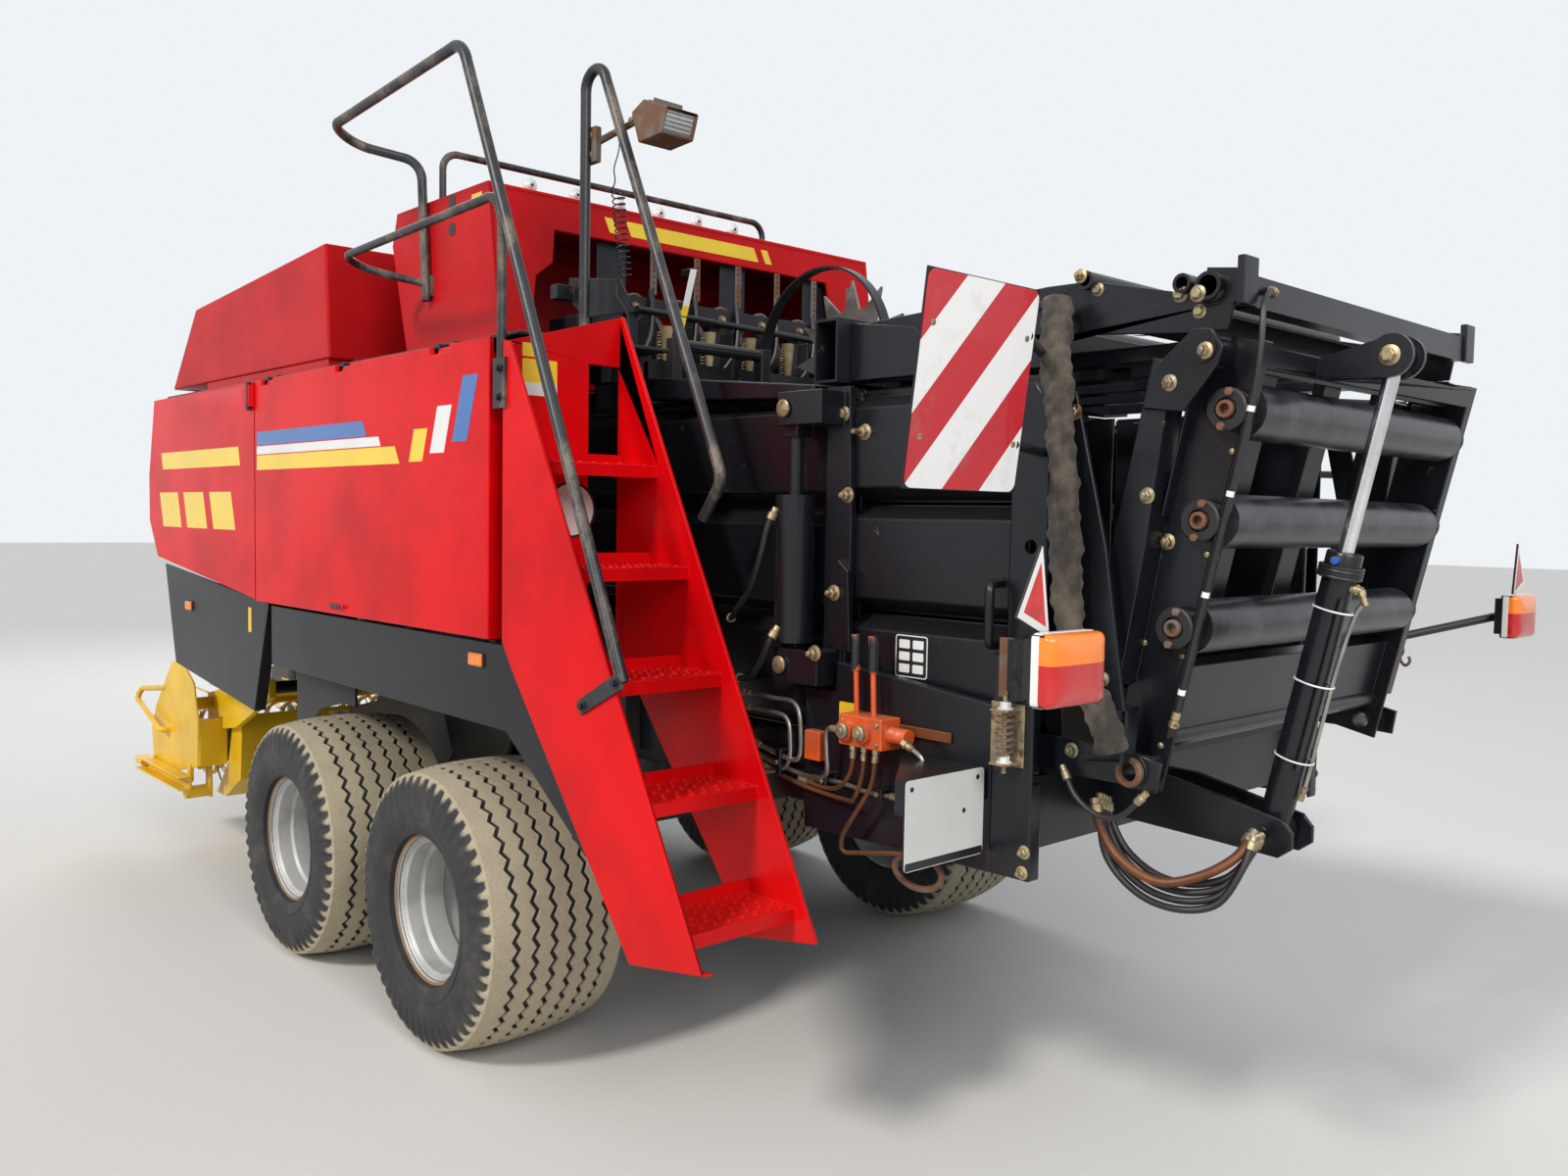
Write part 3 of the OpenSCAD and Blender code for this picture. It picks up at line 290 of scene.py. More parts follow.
def pair(shape, name, body, slot):
    """The shape on its left body, and its mirror image on the right one."""
    shape.piece(name + "_left", body + "_left", slot)
    shape.mirrored().piece(name + "_right", body + "_right", slot)


def flow(points, step=0.02):
    """A smooth path through points: Catmull-Rom spans, then points at equal distances along it."""
    points = np.asarray(points, float)
    ends = np.vstack([2 * points[0] - points[1], points, 2 * points[-1] - points[-2]])
    t = np.linspace(0, 1, 16, endpoint=False)[:, None]
    spans = []
    for a, b, c, d in zip(ends, ends[1:], ends[2:], ends[3:]):
        square, cube = 2 * a - 5 * b + 4 * c - d, 3 * b - a - 3 * c + d
        spans.append(0.5 * (2 * b + (c - a) * t + square * t**2 + cube * t**3))
    path = np.vstack(spans + [points[-1:]])
    length = np.concatenate([[0], np.cumsum(np.linalg.norm(np.diff(path, axis=0), axis=1))])
    at = np.linspace(0, length[-1], max(4, int(length[-1] / step) + 1))
    return np.stack([np.interp(at, length, path[:, k]) for k in range(3)], -1)


def coil(start, end, radius, turns, per_turn=14):
    """A helix from start to end: a circle of the radius carried along the line."""
    start, end = np.array([start, end], float)
    side, up = square_to(end - start)
    t = np.linspace(0, 1, int(turns * per_turn) + 1)[:, None]
    angle = 2 * math.pi * turns * t
    return start + (end - start) * t + radius * (np.cos(angle) * side + np.sin(angle) * up)


def bolt(shape, at, axis, across, finish="zinc", washer=True, thread=0.0):
    """A hexagon head, a washer under it and a bare thread on it: turned, with 6, 18 and 12 sides."""
    seat = 0.12 * across if washer else 0.0
    if washer:
        wide = 0.86 * across
        shape.lathe(at, axis, [(0, wide), (0.8 * seat, wide), (seat, 0.94 * wide)], 18, finish)
    tall, corner = 0.62 * across, across / 2 / math.cos(math.pi / 6)
    top = seat + tall
    shape.lathe(at, axis, [(seat, corner), (seat + 0.85 * tall, corner), (top, 0.84 * corner)], 6, finish)
    if thread:
        shank = [(top, 0.5 * corner), (top + 0.9 * thread, 0.5 * corner), (top + thread, 0.4 * corner)]
        shape.lathe(at, axis, shank, 12, finish)


def rounded(width, height, radius, across=0.0, up=0.0, per_corner=5):
    """Flat outline of a rectangle about (across, up), with a quarter circle at each corner."""
    turn = np.linspace(0, math.pi / 2, per_corner)
    arc = radius * np.stack([np.cos(turn), np.sin(turn)], -1)
    inner = np.array([width, height]) / 2 - radius
    rings = []
    for k, signs in enumerate(((1, 1), (-1, 1), (-1, -1), (1, -1))):
        c, s = math.cos(k * math.pi / 2), math.sin(k * math.pi / 2)
        rings.append(inner * signs + arc @ np.array([[c, s], [-s, c]]))
    return np.vstack(rings) + [across, up]


def slanted(across, up, width, height, lean):
    """Flat outline of a slanted block: its first lower corner, its width and height, and its top's lean."""
    return [(across, up), (across + width, up), (across + width + lean, up + height),
            (across + lean, up + height)]


def on_plane(outline, at, across, up):
    """A flat outline carried to a plane: at + first coordinate * across + second * up."""
    outline = np.asarray(outline, float)
    return np.asarray(at) + outline[:, :1] * across + outline[:, 1:] * up


def side_film(shape, outline, y, finish=None, thick=0.0006):
    """A flat film on a sheet that faces left at y, its outline given as (x, z)."""
    return shape.plate(on_plane(outline, (0, y, 0), X, Z), Y, thick, finish)


def rear_film(shape, outline, x, finish=None, thick=0.0008):
    """A flat film on a sheet that faces the rear at x, its outline given as (y, z)."""
    return shape.plate(on_plane(outline, (x, 0, 0), Y, Z), -X, thick, finish)


@functools.cache
def tree_of(node):
    """Search tree of a CAD node's faces."""
    mesh = frame["nodes"][node].data
    return BVHTree.FromPolygons([v.co for v in mesh.vertices], [p.vertices for p in mesh.polygons])


def touch(nodes, start, along):
    """The point where a ray from a machine point first meets one of the CAD nodes."""
    found = []
    for node in nodes:
        hit, _, _, far = tree_of(node).ray_cast(Vector(start + TANDEM), Vector(along))
        if hit is not None:
            found.append((far, tuple(np.array(hit) - TANDEM)))
    if not found:
        raise ValueError(f"no node of {nodes} lies along {along} from {start}")
    return np.array(min(found)[1])


def skin_at(nodes, x, z):
    """How far to the left the nodes' outer face lies at a place seen from the left."""
    return touch(nodes, (x, CAD_BOX[1][1], z), -Y)[1]


# shader maths


class Signal:
    """A shader socket that takes part in arithmetic: each operator adds its Math node."""

    def __init__(self, paint, socket):
        self.paint, self.socket = paint, socket

    def maths(self, operation, *values):
        return self.paint.node("ShaderNodeMath", {"operation": operation}, dict(enumerate(values)))

    def __add__(self, other):
        return self.maths("ADD", self, other)

    __radd__ = __add__

    def __mul__(self, other):
        return self.maths("MULTIPLY", self, other)

    __rmul__ = __mul__

    def __sub__(self, other):
        return self.maths("SUBTRACT", self, other)

    def __rsub__(self, other):
        return self.maths("SUBTRACT", other, self)

    def __truediv__(self, other):
        return self.maths("DIVIDE", self, other)

    def __rtruediv__(self, other):
        return self.maths("DIVIDE", other, self)

    def __pow__(self, other):
        return self.maths("POWER", self, other)

    def __gt__(self, other):
        return self.maths("GREATER_THAN", self, other)

    def __lt__(self, other):
        return self.maths("LESS_THAN", self, other)

    def __mod__(self, other):
        return self.maths("FLOORED_MODULO", self, other)

    def bounded(self):
        return self.maths("MINIMUM", self.maths("MAXIMUM", self, 0.0), 1.0)

    def step(self, low, high):
        """0 below low, 1 above high, smooth between."""
        return self.paint.node("ShaderNodeMapRange", {"interpolation_type": "SMOOTHSTEP"},
                               {"Value": self, "From Min": low, "From Max": high})


class Nodes:
    """A node tree under construction."""

    def __init__(self, tree):
        self.tree = tree

    def node(self, kind, settings=None, inputs=None, output=0):
        """Adds a node: its settings first, then the values or links of its sockets."""
        made = self.tree.nodes.new(kind)
        for key, value in (settings or {}).items():
            if key == "stops":
                ramp = made.color_ramp
                while len(ramp.elements) < len(value):
                    ramp.elements.new(0.5)
                for element, (position, colour) in zip(ramp.elements, value):
                    element.position, element.color = position, (*colour, 1)
            else:
                setattr(made, key, value)
        for key, value in (inputs or {}).items():
            self.feed(made.inputs[key], value)
        return made if output is None else Signal(self, made.outputs[output])

    def feed(self, socket, value):
        """Links a signal to a socket, or sets the socket's own value."""
        if isinstance(value, Signal):
            self.tree.links.new(value.socket, socket)
        elif socket.type == "RGBA" and len(value) == 3:
            socket.default_value = (*value, 1)
        else:
            socket.default_value = value


class Paint(Nodes):
    """A material under construction, with the patterns that this machine's finishes share."""

    def __init__(self, name):
        self.material = bpy.data.materials.new(name)
        self.material.use_nodes = True
        super().__init__(self.material.node_tree)
        self.shader = self.tree.nodes["Principled BSDF"]
        self.place = Signal(self, self.tree.nodes.new("ShaderNodeTexCoord").outputs["Object"])

    def noise(self, scale, detail=3.0, rough=0.55, stretch=None):
        """Cloudy pattern from 0 to 1, its scale in waves a metre."""
        place = self.place
        if stretch is not None:
            place = self.node("ShaderNodeMapping", {}, {"Vector": place, "Scale": stretch})
        return self.node("ShaderNodeTexNoise", {}, {"Vector": place, "Scale": scale, "Detail": detail,
                                                    "Roughness": rough})

    def axis(self, which):
        """One coordinate of the surface point, in metres."""
        return self.node("ShaderNodeSeparateXYZ", {}, {0: self.place}, "XYZ".index(which))

    def facing_up(self):
        """How far the surface faces upwards, from 0 to 1."""
        normal = self.tree.nodes.new("ShaderNodeNewGeometry").outputs["Normal"]
        return self.node("ShaderNodeSeparateXYZ", {}, {0: Signal(self, normal)}, 2).bounded()

    def mark(self):
        """The piece's own mark, from 0 to 1."""
        return self.node("ShaderNodeAttribute", {"attribute_name": "mark"}, {}, "Fac")

    def mix(self, amount, first, second):
        """Colour between first and second."""
        return self.node("ShaderNodeMix", {"data_type": "RGBA"}, {0: amount, 6: first, 7: second}, 2)

    def bump(self, height, depth, strength=1.0):
        """Normals from a height signal, its full height in metres."""
        return self.node("ShaderNodeBump", {}, {"Strength": strength, "Distance": depth, "Height": height})

    def finish(self, **sockets):
        """Feeds the shader's sockets, named with underscores for blanks."""
        for key, value in sockets.items():
            self.feed(self.shader.inputs[key.replace("_", " ")], value)
        return self.material


DUST = (0.33, 0.27, 0.19)
RUST = (0.17, 0.06, 0.022)


def sheet_paint(name, colour, dust=0.25, rust=0.0, rough=0.3, coat=0.0, low=0.6, shine=0.5):
    """Paint on sheet or steel: cloudy tone, dust on low and upward faces, specks of rust, rubbed places."""
    p = Paint(name)
    cloud, fine = p.noise(2.3, 4), p.noise(38, 5, 0.7)
    streak = p.noise(9, 4, 0.6, (1, 1, 0.12))
    height = p.axis("Z")
    deeper = tuple(0.72 * c for c in colour)
    base = p.mix(cloud.step(0.35, 0.7), colour, deeper)
    splash = 1 - height.step(low - 0.45, low + 0.5)
    film = p.facing_up() * 0.55 + splash * 0.7 + streak.step(0.52, 0.8) * 0.25
    film = (film * (fine * 0.8 + 0.35) * dust).bounded()
    shade = p.mix(film, base, DUST)
    roughness = cloud * 0.14 + (rough - 0.07) + film * 0.55
    if rust:
        bare = p.noise(17, 6, 0.75).step(0.70 - 0.14 * rust, 0.74 - 0.12 * rust)
        rusty = p.mix(p.noise(60, 3), RUST, (0.2, 0.17, 0.14))
        shade = p.mix(bare * fine.step(0.3, 0.6) * 0.9, shade, rusty)
        roughness = roughness + bare * 0.3
    dents = p.noise(1.6, 2, 0.4) * 0.9 + p.noise(420, 2, 0.5) * 0.02
    return p.finish(Base_Color=shade, Roughness=roughness.bounded(), Coat_Weight=coat, Coat_Roughness=0.12,
                    Specular_IOR_Level=shine, Normal=p.bump(dents, 0.010, 0.35))


def plain(name, colour, rough=0.5, metal=0.0, grain=120.0, spread=0.3, dust=0.15, coat=0.0):
    """Small parts: one tone with a fine grain, a little dust and a slight bump."""
    p = Paint(name)
    fine, cloud = p.noise(grain, 4, 0.6), p.noise(grain / 9, 3)
    darker = tuple(c * (1 - spread) for c in colour)
    film = (p.facing_up() * 0.6 + cloud.step(0.5, 0.8) * 0.5) * dust
    shade = p.mix(film.bounded(), p.mix(cloud.step(0.3, 0.7), colour, darker), DUST)
    roughness = (fine * 0.2 + (rough - 0.1) + film * 0.5).bounded()
    return p.finish(Base_Color=shade, Roughness=roughness, Metallic=metal, Coat_Weight=coat,
                    Normal=p.bump(fine, 0.0008, 0.3))


def zinc_finish():
    """Yellow-passivated zinc, worn to grey and browned in patches."""
    p = Paint("zinc")
    patch, fine = p.noise(25, 4), p.noise(160, 3)
    shade = p.mix(patch.step(0.35, 0.65), (0.46, 0.37, 0.20), (0.27, 0.23, 0.17))
    shade = p.mix(p.noise(45, 5, 0.7).step(0.52, 0.66), shade, (0.15, 0.07, 0.03))
    return p.finish(Base_Color=shade, Metallic=0.75, Roughness=(fine * 0.3 + 0.28).bounded(),
                    Normal=p.bump(fine, 0.0006, 0.3))


def rusty_finish():
    """Rust-brown steel with darker pits."""
    p = Paint("rusty steel")
    fine, patch = p.noise(130, 6, 0.75), p.noise(14, 4)
    shade = p.mix(fine, (0.24, 0.10, 0.045), (0.09, 0.05, 0.035))
    shade = p.mix(patch.step(0.45, 0.65), shade, (0.16, 0.14, 0.12))
    return p.finish(Base_Color=shade, Metallic=0.25, Roughness=(fine * 0.3 + 0.5).bounded(),
                    Normal=p.bump(fine, 0.0015, 0.5))


def rail_finish():
    """Handrail tube: black paint rubbed through to brown and bright steel where hands and ropes go."""
    p = Paint("worn rail")
    patch = p.noise(7, 5, 0.65, (1, 1, 0.5))
    fine = p.noise(90, 4, 0.7)
    rubbed = (patch.step(0.48, 0.66) * fine.step(0.25, 0.6)).bounded()
    shade = p.mix(rubbed, (0.014, 0.015, 0.018), p.mix(fine, (0.25, 0.20, 0.15), (0.13, 0.10, 0.08)))
    roughness = (fine * 0.25 + 0.27 + rubbed * 0.15).bounded()
    return p.finish(Base_Color=shade, Roughness=roughness, Metallic=rubbed * 0.3,
                    Normal=p.bump(fine, 0.0008, 0.4))


def tyre_finish():
    """Rubber: dark in grooves and on the walls, dusty on the ribs' tops where the mark is 1."""
    p = Paint("tyre rubber")
    fine, cloud = p.noise(170, 6, 0.75), p.noise(8, 5, 0.7)
    dusty = (p.mark().step(0.35, 0.75) * (cloud * 0.5 + 0.72)).bounded()
    wall = p.mix(cloud.step(0.45, 0.75), (0.018, 0.018, 0.020), (0.055, 0.050, 0.044))
    tread = p.mix(fine.step(0.35, 0.7), (0.45, 0.39, 0.27), (0.34, 0.29, 0.20))
    shade = p.mix(dusty, wall, tread)
    return p.finish(Base_Color=shade, Roughness=(0.62 + dusty * 0.25 + fine * 0.1).bounded(),
                    Normal=p.bump(fine, 0.003, 0.5))


def rim_finish():
    """Silver paint, streaked, with rust where the mark is 1 along the bead seat and the welds."""
    p = Paint("rim silver")
    fine, cloud = p.noise(70, 5, 0.7), p.noise(6, 5, 0.65)
    rust = (p.mark() * 0.75 + cloud * 0.55).step(0.72, 0.95)
    shade = p.mix(cloud.step(0.4, 0.75), (0.50, 0.50, 0.485), (0.36, 0.35, 0.33))
    shade = p.mix(rust, shade, p.mix(fine, (0.26, 0.12, 0.05), (0.42, 0.27, 0.14)))
    return p.finish(Base_Color=shade, Metallic=0.12, Roughness=(fine * 0.18 + 0.38 + rust * 0.3).bounded(),
                    Normal=p.bump(fine, 0.0012, 0.3))


def board_finish():
    """Warning board: slanting red bands on white sheet, a little dirty."""
    p = Paint("warning board")
    side = p.node("ShaderNodeMath", {"operation": "ABSOLUTE"}, {0: p.axis("Y")})
    place = (1.290 - side) * (1 / 0.115) + (2.168 - p.axis("Z")) * (1 / 0.1358)
    band = (place % 2.0) < 1.0
    grime = p.noise(12, 5, 0.7)
    shade = p.mix(band, (0.80, 0.79, 0.78), (0.50, 0.010, 0.018))
    shade = p.mix(grime.step(0.52, 0.8) * 0.35, shade, (0.25, 0.2, 0.15))
    cells = p.node("ShaderNodeTexVoronoi", {}, {"Vector": p.place, "Scale": 260.0})
    return p.finish(Base_Color=shade, Roughness=(grime * 0.2 + 0.32).bounded(), Coat_Weight=0.4,
                    Normal=p.bump(cells, 0.0004, 0.25))


def glowing_lens_finish(name, colour):
    """Moulded glass of the reflectors and triangles, with fine ribs and a painted glow: it gives out a
    little light of its own, though no lamp lies behind it.
    """
    p = Paint(name)
    ribs = p.node("ShaderNodeTexWave", {"bands_direction": "Y"}, {"Vector": p.place, "Scale": 55.0})
    shade = p.mix(p.noise(30, 3).step(0.4, 0.8), colour, tuple(0.7 * c for c in colour))
    # painted glow: the emission makes the glass look lit
    return p.finish(Base_Color=shade, Roughness=0.16, Coat_Weight=0.6, Emission_Color=shade,
                    Emission_Strength=0.12, Normal=p.bump(ribs, 0.0012, 0.4))


def two_lens_finish():
    """Rear lamp's lens: amber above, red below, with fine ribs."""
    p = Paint("two-colour lens")
    ribs = p.node("ShaderNodeTexWave", {"bands_direction": "Y"}, {"Vector": p.place, "Scale": 55.0})
    shade = p.mix(p.axis("Z") > 1.447, (0.48, 0.006, 0.006), (0.85, 0.20, 0.008))
    return p.finish(Base_Color=shade, Roughness=0.12, Coat_Weight=0.6, Emission_Color=shade,
                    Emission_Strength=0.10, Normal=p.bump(ribs, 0.0012, 0.4))


def canvas_finish():
    """Oily woven sleeve: crossed threads and folds, with painted shade in the creases, where the folds' bump
    lies low.
    """
    p = Paint("canvas sleeve")
    fold_height_and_shade = p.noise(20, 5, 0.65, (1, 1, 0.5))
    warp = p.node("ShaderNodeTexWave", {"bands_direction": "Z"}, {"Vector": p.place, "Scale": 120.0})
    weft = p.node("ShaderNodeTexWave", {"bands_direction": "X"}, {"Vector": p.place, "Scale": 120.0})
    # painted shade: one fold pattern lifts the bump and lightens the colour, so the creases are dark and the
    # ridges light
    shade = p.mix(fold_height_and_shade.step(0.35, 0.7), (0.026, 0.021, 0.017), (0.105, 0.082, 0.058))
    return p.finish(Base_Color=shade, Roughness=0.85, Sheen_Weight=0.1,
                    Normal=p.bump(fold_height_and_shade * 0.8 + (warp + weft) * 0.05, 0.014, 0.7))


def striped_finish(name, colour, bands, along="Z", tone=0.5):
    """Surface with fine grooves along one direction, such as a roller or a corrugated guard."""
    p = Paint(name)
    wave = p.node("ShaderNodeTexWave", {"bands_direction": along}, {"Vector": p.place, "Scale": bands})
    cloud = p.noise(11, 4)
    shade = p.mix(cloud.step(0.4, 0.75), colour, tuple(min(1, c * (1 + tone) + 0.03) for c in colour))
    return p.finish(Base_Color=shade, Roughness=(cloud * 0.25 + 0.18).bounded(),
                    Normal=p.bump(wave, 0.0004, 0.15))


def make_finishes(look):
    """All finishes of the machine, from the colours that the user sets."""
    red, black, yellow = tuple(look.red), tuple(look.black), tuple(look.yellow)
    # the hood's red is a darker, greyer copy: partly the paint's real fading, partly painted reflection of
    # the sky on the hood
    faded_red_and_painted_sky, grey = tuple(0.82 * c + 0.004 for c in red), tuple(1.3 * c for c in black)
    return {
        "red": sheet_paint("red sheet", red, dust=0.02, rough=0.28, low=0.9, shine=0.14),
        "hood": sheet_paint("red hood", faded_red_and_painted_sky, dust=0.05, rough=0.42, low=0.0, shine=0.14),
        "ladder": sheet_paint("red ladder", red, dust=0.06, rust=0.04, rough=0.32, shine=0.14),
        "black": sheet_paint("black paint", black, dust=0.06, rust=0.26, rough=0.28, low=0.5, shine=0.4),
        "smooth black": sheet_paint("black skirt", black, dust=0.03, low=0.8, shine=0.3),
        "under": sheet_paint("dusty black", grey, dust=0.35, rust=0.45, rough=0.45, low=0.9, shine=0.35),
        "yellow": sheet_paint("yellow paint", yellow, 0.15, 0.15, 0.34, coat=0.1, low=0.3, shine=0.35),
        "orange": plain("orange paint", (0.72, 0.10, 0.015), 0.4, 0.0, 80, 0.35, 0.3, 0.3),
        "guard": plain("guard plastic", (0.75, 0.50, 0.03), 0.45, 0.0, 60, 0.3, 0.4),
        "steel": plain("worn steel", (0.30, 0.28, 0.26), 0.42, 0.8, 90, 0.45, 0.3),
        "pipe": plain("pipe steel", (0.42, 0.40, 0.36), 0.34, 0.9, 140, 0.4, 0.15),
        "copper": plain("browned pipe", (0.20, 0.060, 0.016), 0.48, 0.3, 60, 0.65, 0.15),
        "chrome": plain("chromed rod", (0.80, 0.80, 0.82), 0.16, 1.0, 200, 0.12, 0.0),
        "zinc": zinc_finish(),
        "rusty": rusty_finish(),
        "rail": rail_finish(),
        "tyre": tyre_finish(),
        "rim": rim_finish(),
        "board": board_finish(),
        "lens": two_lens_finish(),
        # the amber reflectors and red triangles glow a little: painted light
        "amber": glowing_lens_finish("amber lens", (0.80, 0.20, 0.01)),
        "ruby": glowing_lens_finish("red lens", (0.55, 0.012, 0.01)),
        "canvas": canvas_finish(),
        "hose": plain("hose rubber", (0.010, 0.010, 0.011), 0.45, 0.0, 300, 0.3, 0.05),
        "plastic": plain("black plastic", (0.011, 0.011, 0.012), 0.42, 0.0, 220, 0.3, 0.06),
        "white": plain("white plate", (0.72, 0.72, 0.69), 0.34, 0.0, 30, 0.12, 0.1, 0.3),
        "label": plain("yellow label", (0.85, 0.55, 0.02), 0.4, 0.0, 40, 0.12, 0.1),
        "blue": plain("blue film", (0.03, 0.14, 0.42), 0.3, 0.0, 40, 0.12, 0.05, 0.4),
        "film": plain("white film", (0.78, 0.78, 0.76), 0.3, 0.0, 40, 0.08, 0.05, 0.4),
        "gold": plain("yellow film", (0.88, 0.60, 0.01), 0.3, 0.0, 40, 0.08, 0.05, 0.4),
        "roller": striped_finish("roller steel", (0.016, 0.018, 0.021), 9.0, "Y", 0.6),
        "twine tan": plain("tan cord", (0.45, 0.33, 0.17), 0.7, 0.0, 200, 0.4, 0.2),
        "glass": plain("lamp glass", (0.55, 0.58, 0.60), 0.08, 0.2, 60, 0.2, 0.1, 1.0),
        "blue cap": plain("blue cap", (0.02, 0.10, 0.45), 0.4, 0.0, 60, 0.2, 0.1),
    }


# carried-over steelwork


def softened(node, width, finish):
    """Puts a copy of a CAD node in its place, with flat faces joined and long sharp edges rounded."""
    source = frame["nodes"][node]
    work = bmesh.new()
    work.from_mesh(source.data)
    bmesh.ops.remove_doubles(work, verts=work.verts, dist=3e-5)
    bmesh.ops.dissolve_limit(work, angle_limit=0.012, verts=work.verts, edges=work.edges)
    sharp = [edge for edge in work.edges
             if edge.is_manifold and edge.calc_face_angle(0.0) > 0.7 and edge.calc_length() > 5 * width]
    if width > 0:
        bmesh.ops.bevel(work, geom=sharp, offset=width, offset_type="OFFSET", segments=2, profile=0.5,
                        affect="EDGES", clamp_overlap=False)
    mesh = bpy.data.meshes.new("dressed_" + node)
    work.to_mesh(mesh)
    work.free()
    item = put(mesh, [finish], source["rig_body"], [node], 38)
    weighted = item.modifiers.new("even light", "WEIGHTED_NORMAL")
    weighted.keep_sharp = True
    weighted.weight = 90


# slot of the record and its nodes, each with the rounding of its edges in metres and its finish
STEELWORK = [
    ("black_paint", [
        ("frame", 0.005, "black"), ("chamber_walls", 0.005, "black"), ("tension_doors", 0.006, "black"),
        ("tension_cylinders", 0.003, "black"), ("top_frame", 0.003, "black"), ("rear_stays", 0.003, "black"),
        ("outriggers", 0.004, "under"), ("skirts", 0.003, "smooth black"), ("deck", 0.003, "under"),
        ("drawbar", 0.006, "under"), ("drive_block", 0.012, "under"), ("knotters", 0.003, "under"),
    ]),
    ("orange_paint", [("valve_block", 0.004, "orange")]),
    ("black_paint", [("chute_frame", 0.003, "black")]),
    ("red_paint", [
        ("nose", 0.010, "hood"), ("front_hood", 0.010, "hood"), ("arch_hood", 0.006, "hood"),
        ("door_main_left", 0.004, "red"), ("door_main_right", 0.004, "red"), ("door_front_left", 0.0, "red"),
        ("door_front_right", 0.0, "red"), ("ladder", 0.003, "ladder"),
    ]),
    ("yellow_paint", [("pickup_shields", 0.003, "yellow"), ("pickup_frame", 0.003, "yellow")]),
    ("lamp_plastic", [("work_lamp", 0.004, "rusty")]),
]

# finish: nodes whose own mesh stays
KEPT = {
    "under": ["rockers", "chamber_floor", "chamber_roof", "flywheel", "jack_body", "feeder", "needle_yoke",
              "twine_racks"],
    "black": ["star_hoop", "chute_barrel", "warning_boards", "number_plate"],
    "steel": ["plunger", "tow_eye", "jack_leg", "pickup_reel", "star_wheel"],
    "rail": ["handrails", "guard_rail"],
    "roller": ["roller_low", "roller_mid", "roller_top"],
    "guard": ["pto_shaft"],
    "chrome": ["chute_rod"],
    "plastic": ["rear_lamps"],
}


class BALER_OT_steelwork(bpy.types.Operator):
    """Rounds the edges of the sheets and beams, and paints every node that keeps its mesh"""

    bl_idname = "baler.steelwork"
    bl_label = "Steelwork and paint"

    def execute(self, context):
        for slot, nodes in STEELWORK:
            for node, width, finish in nodes:
                softened(node, width, finish)
        for finish, nodes in KEPT.items():
            for node in nodes:
                mesh = frame["nodes"][node].data
                mesh.materials.clear()
                mesh.materials.append(FINISH[finish])
        return {"FINISHED"}


# wheels


def tyre_shape(look, node):
    """A tyre: a section of walls and crown carried round the axle, with zig-zag grooves cut in the crown.

    Rows run round the wheel, four to each zig-zag, and columns over the section. A groove's columns lie at
    its place + the swing of its row, and its floor is lower by the depth."""
    low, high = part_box(node)
    radius, half = (high[2] - low[2]) / 2, (high[1] - low[1]) / 2
    rows = look.zigs * 4
    swing = look.swing * (np.abs(np.arange(rows) % 4 - 2.0) - 1)[:, None]
    # crown, by columns: place across, share of the groove's depth, share of the swing, dust
    crown, lip, floor, land = 0.225, 0.0085, 0.0055, 0.031
    columns = [(-crown, 0, 0, 1)]
    for groove in np.linspace(-0.155, 0.155, look.grooves):
        columns += [(groove - lip, 0, 1, 1), (groove - floor, 1, 1, 0), (groove + floor, 1, 1, 0),
                    (groove + lip, 0, 1, 1), (groove + land, 0, 0.4, 1)]
    columns[-1] = (crown, 0, 0, 1)
    place, depth, share, dust = np.array(columns).T
    y = place + share * swing
    r = radius - 0.020 * (np.abs(y) / crown) ** 2.4 - look.groove_depth * depth
    # wall, by columns: distance from the middle, radius, dust
    seat = 0.225
    wall = np.array([
        (0.238, radius - 0.032, 0.75), (0.2455, radius - 0.052, 0.45), (0.2485, radius - 0.085, 0.15),
        (half, radius - 0.120, 0), (half, radius - 0.150, 0), (half - 0.003, radius - 0.165, 0),
        (half - 0.0005, radius - 0.168, 0), (half - 0.006, radius - 0.190, 0),
        (half - 0.018, radius - 0.212, 0), (half - 0.036, seat + 0.012, 0), (half - 0.048, seat - 0.002, 0),
        (half - 0.075, seat - 0.006, 0),
    ])
    # shoulder lugs: on every other pair of rows the wall's first columns are cut in
    lug = (np.arange(rows) // 2 % 2)[:, None]
    cut = np.zeros(len(wall))
    cut[:3] = 0.007, 0.008, 0.005
    wall_y, wall_r = wall[:, 0] - 0.8 * lug * cut, wall[:, 1] - 0.6 * lug * cut
    wall_dust = wall[:, 2] * (1 - 0.8 * lug)
    y = np.hstack([-wall_y[:, ::-1], y, wall_y])
    r = np.hstack([wall_r[:, ::-1], r, wall_r])
    dust = np.hstack([wall_dust[:, ::-1], np.broadcast_to(dust, (rows, len(dust))), wall_dust])
    points = middle(node) - TANDEM + y[..., None] * Y + r[..., None] * spoke(around(rows))[:, None]
    return Shape("tyre").grid(points, True, True, mark=dust)


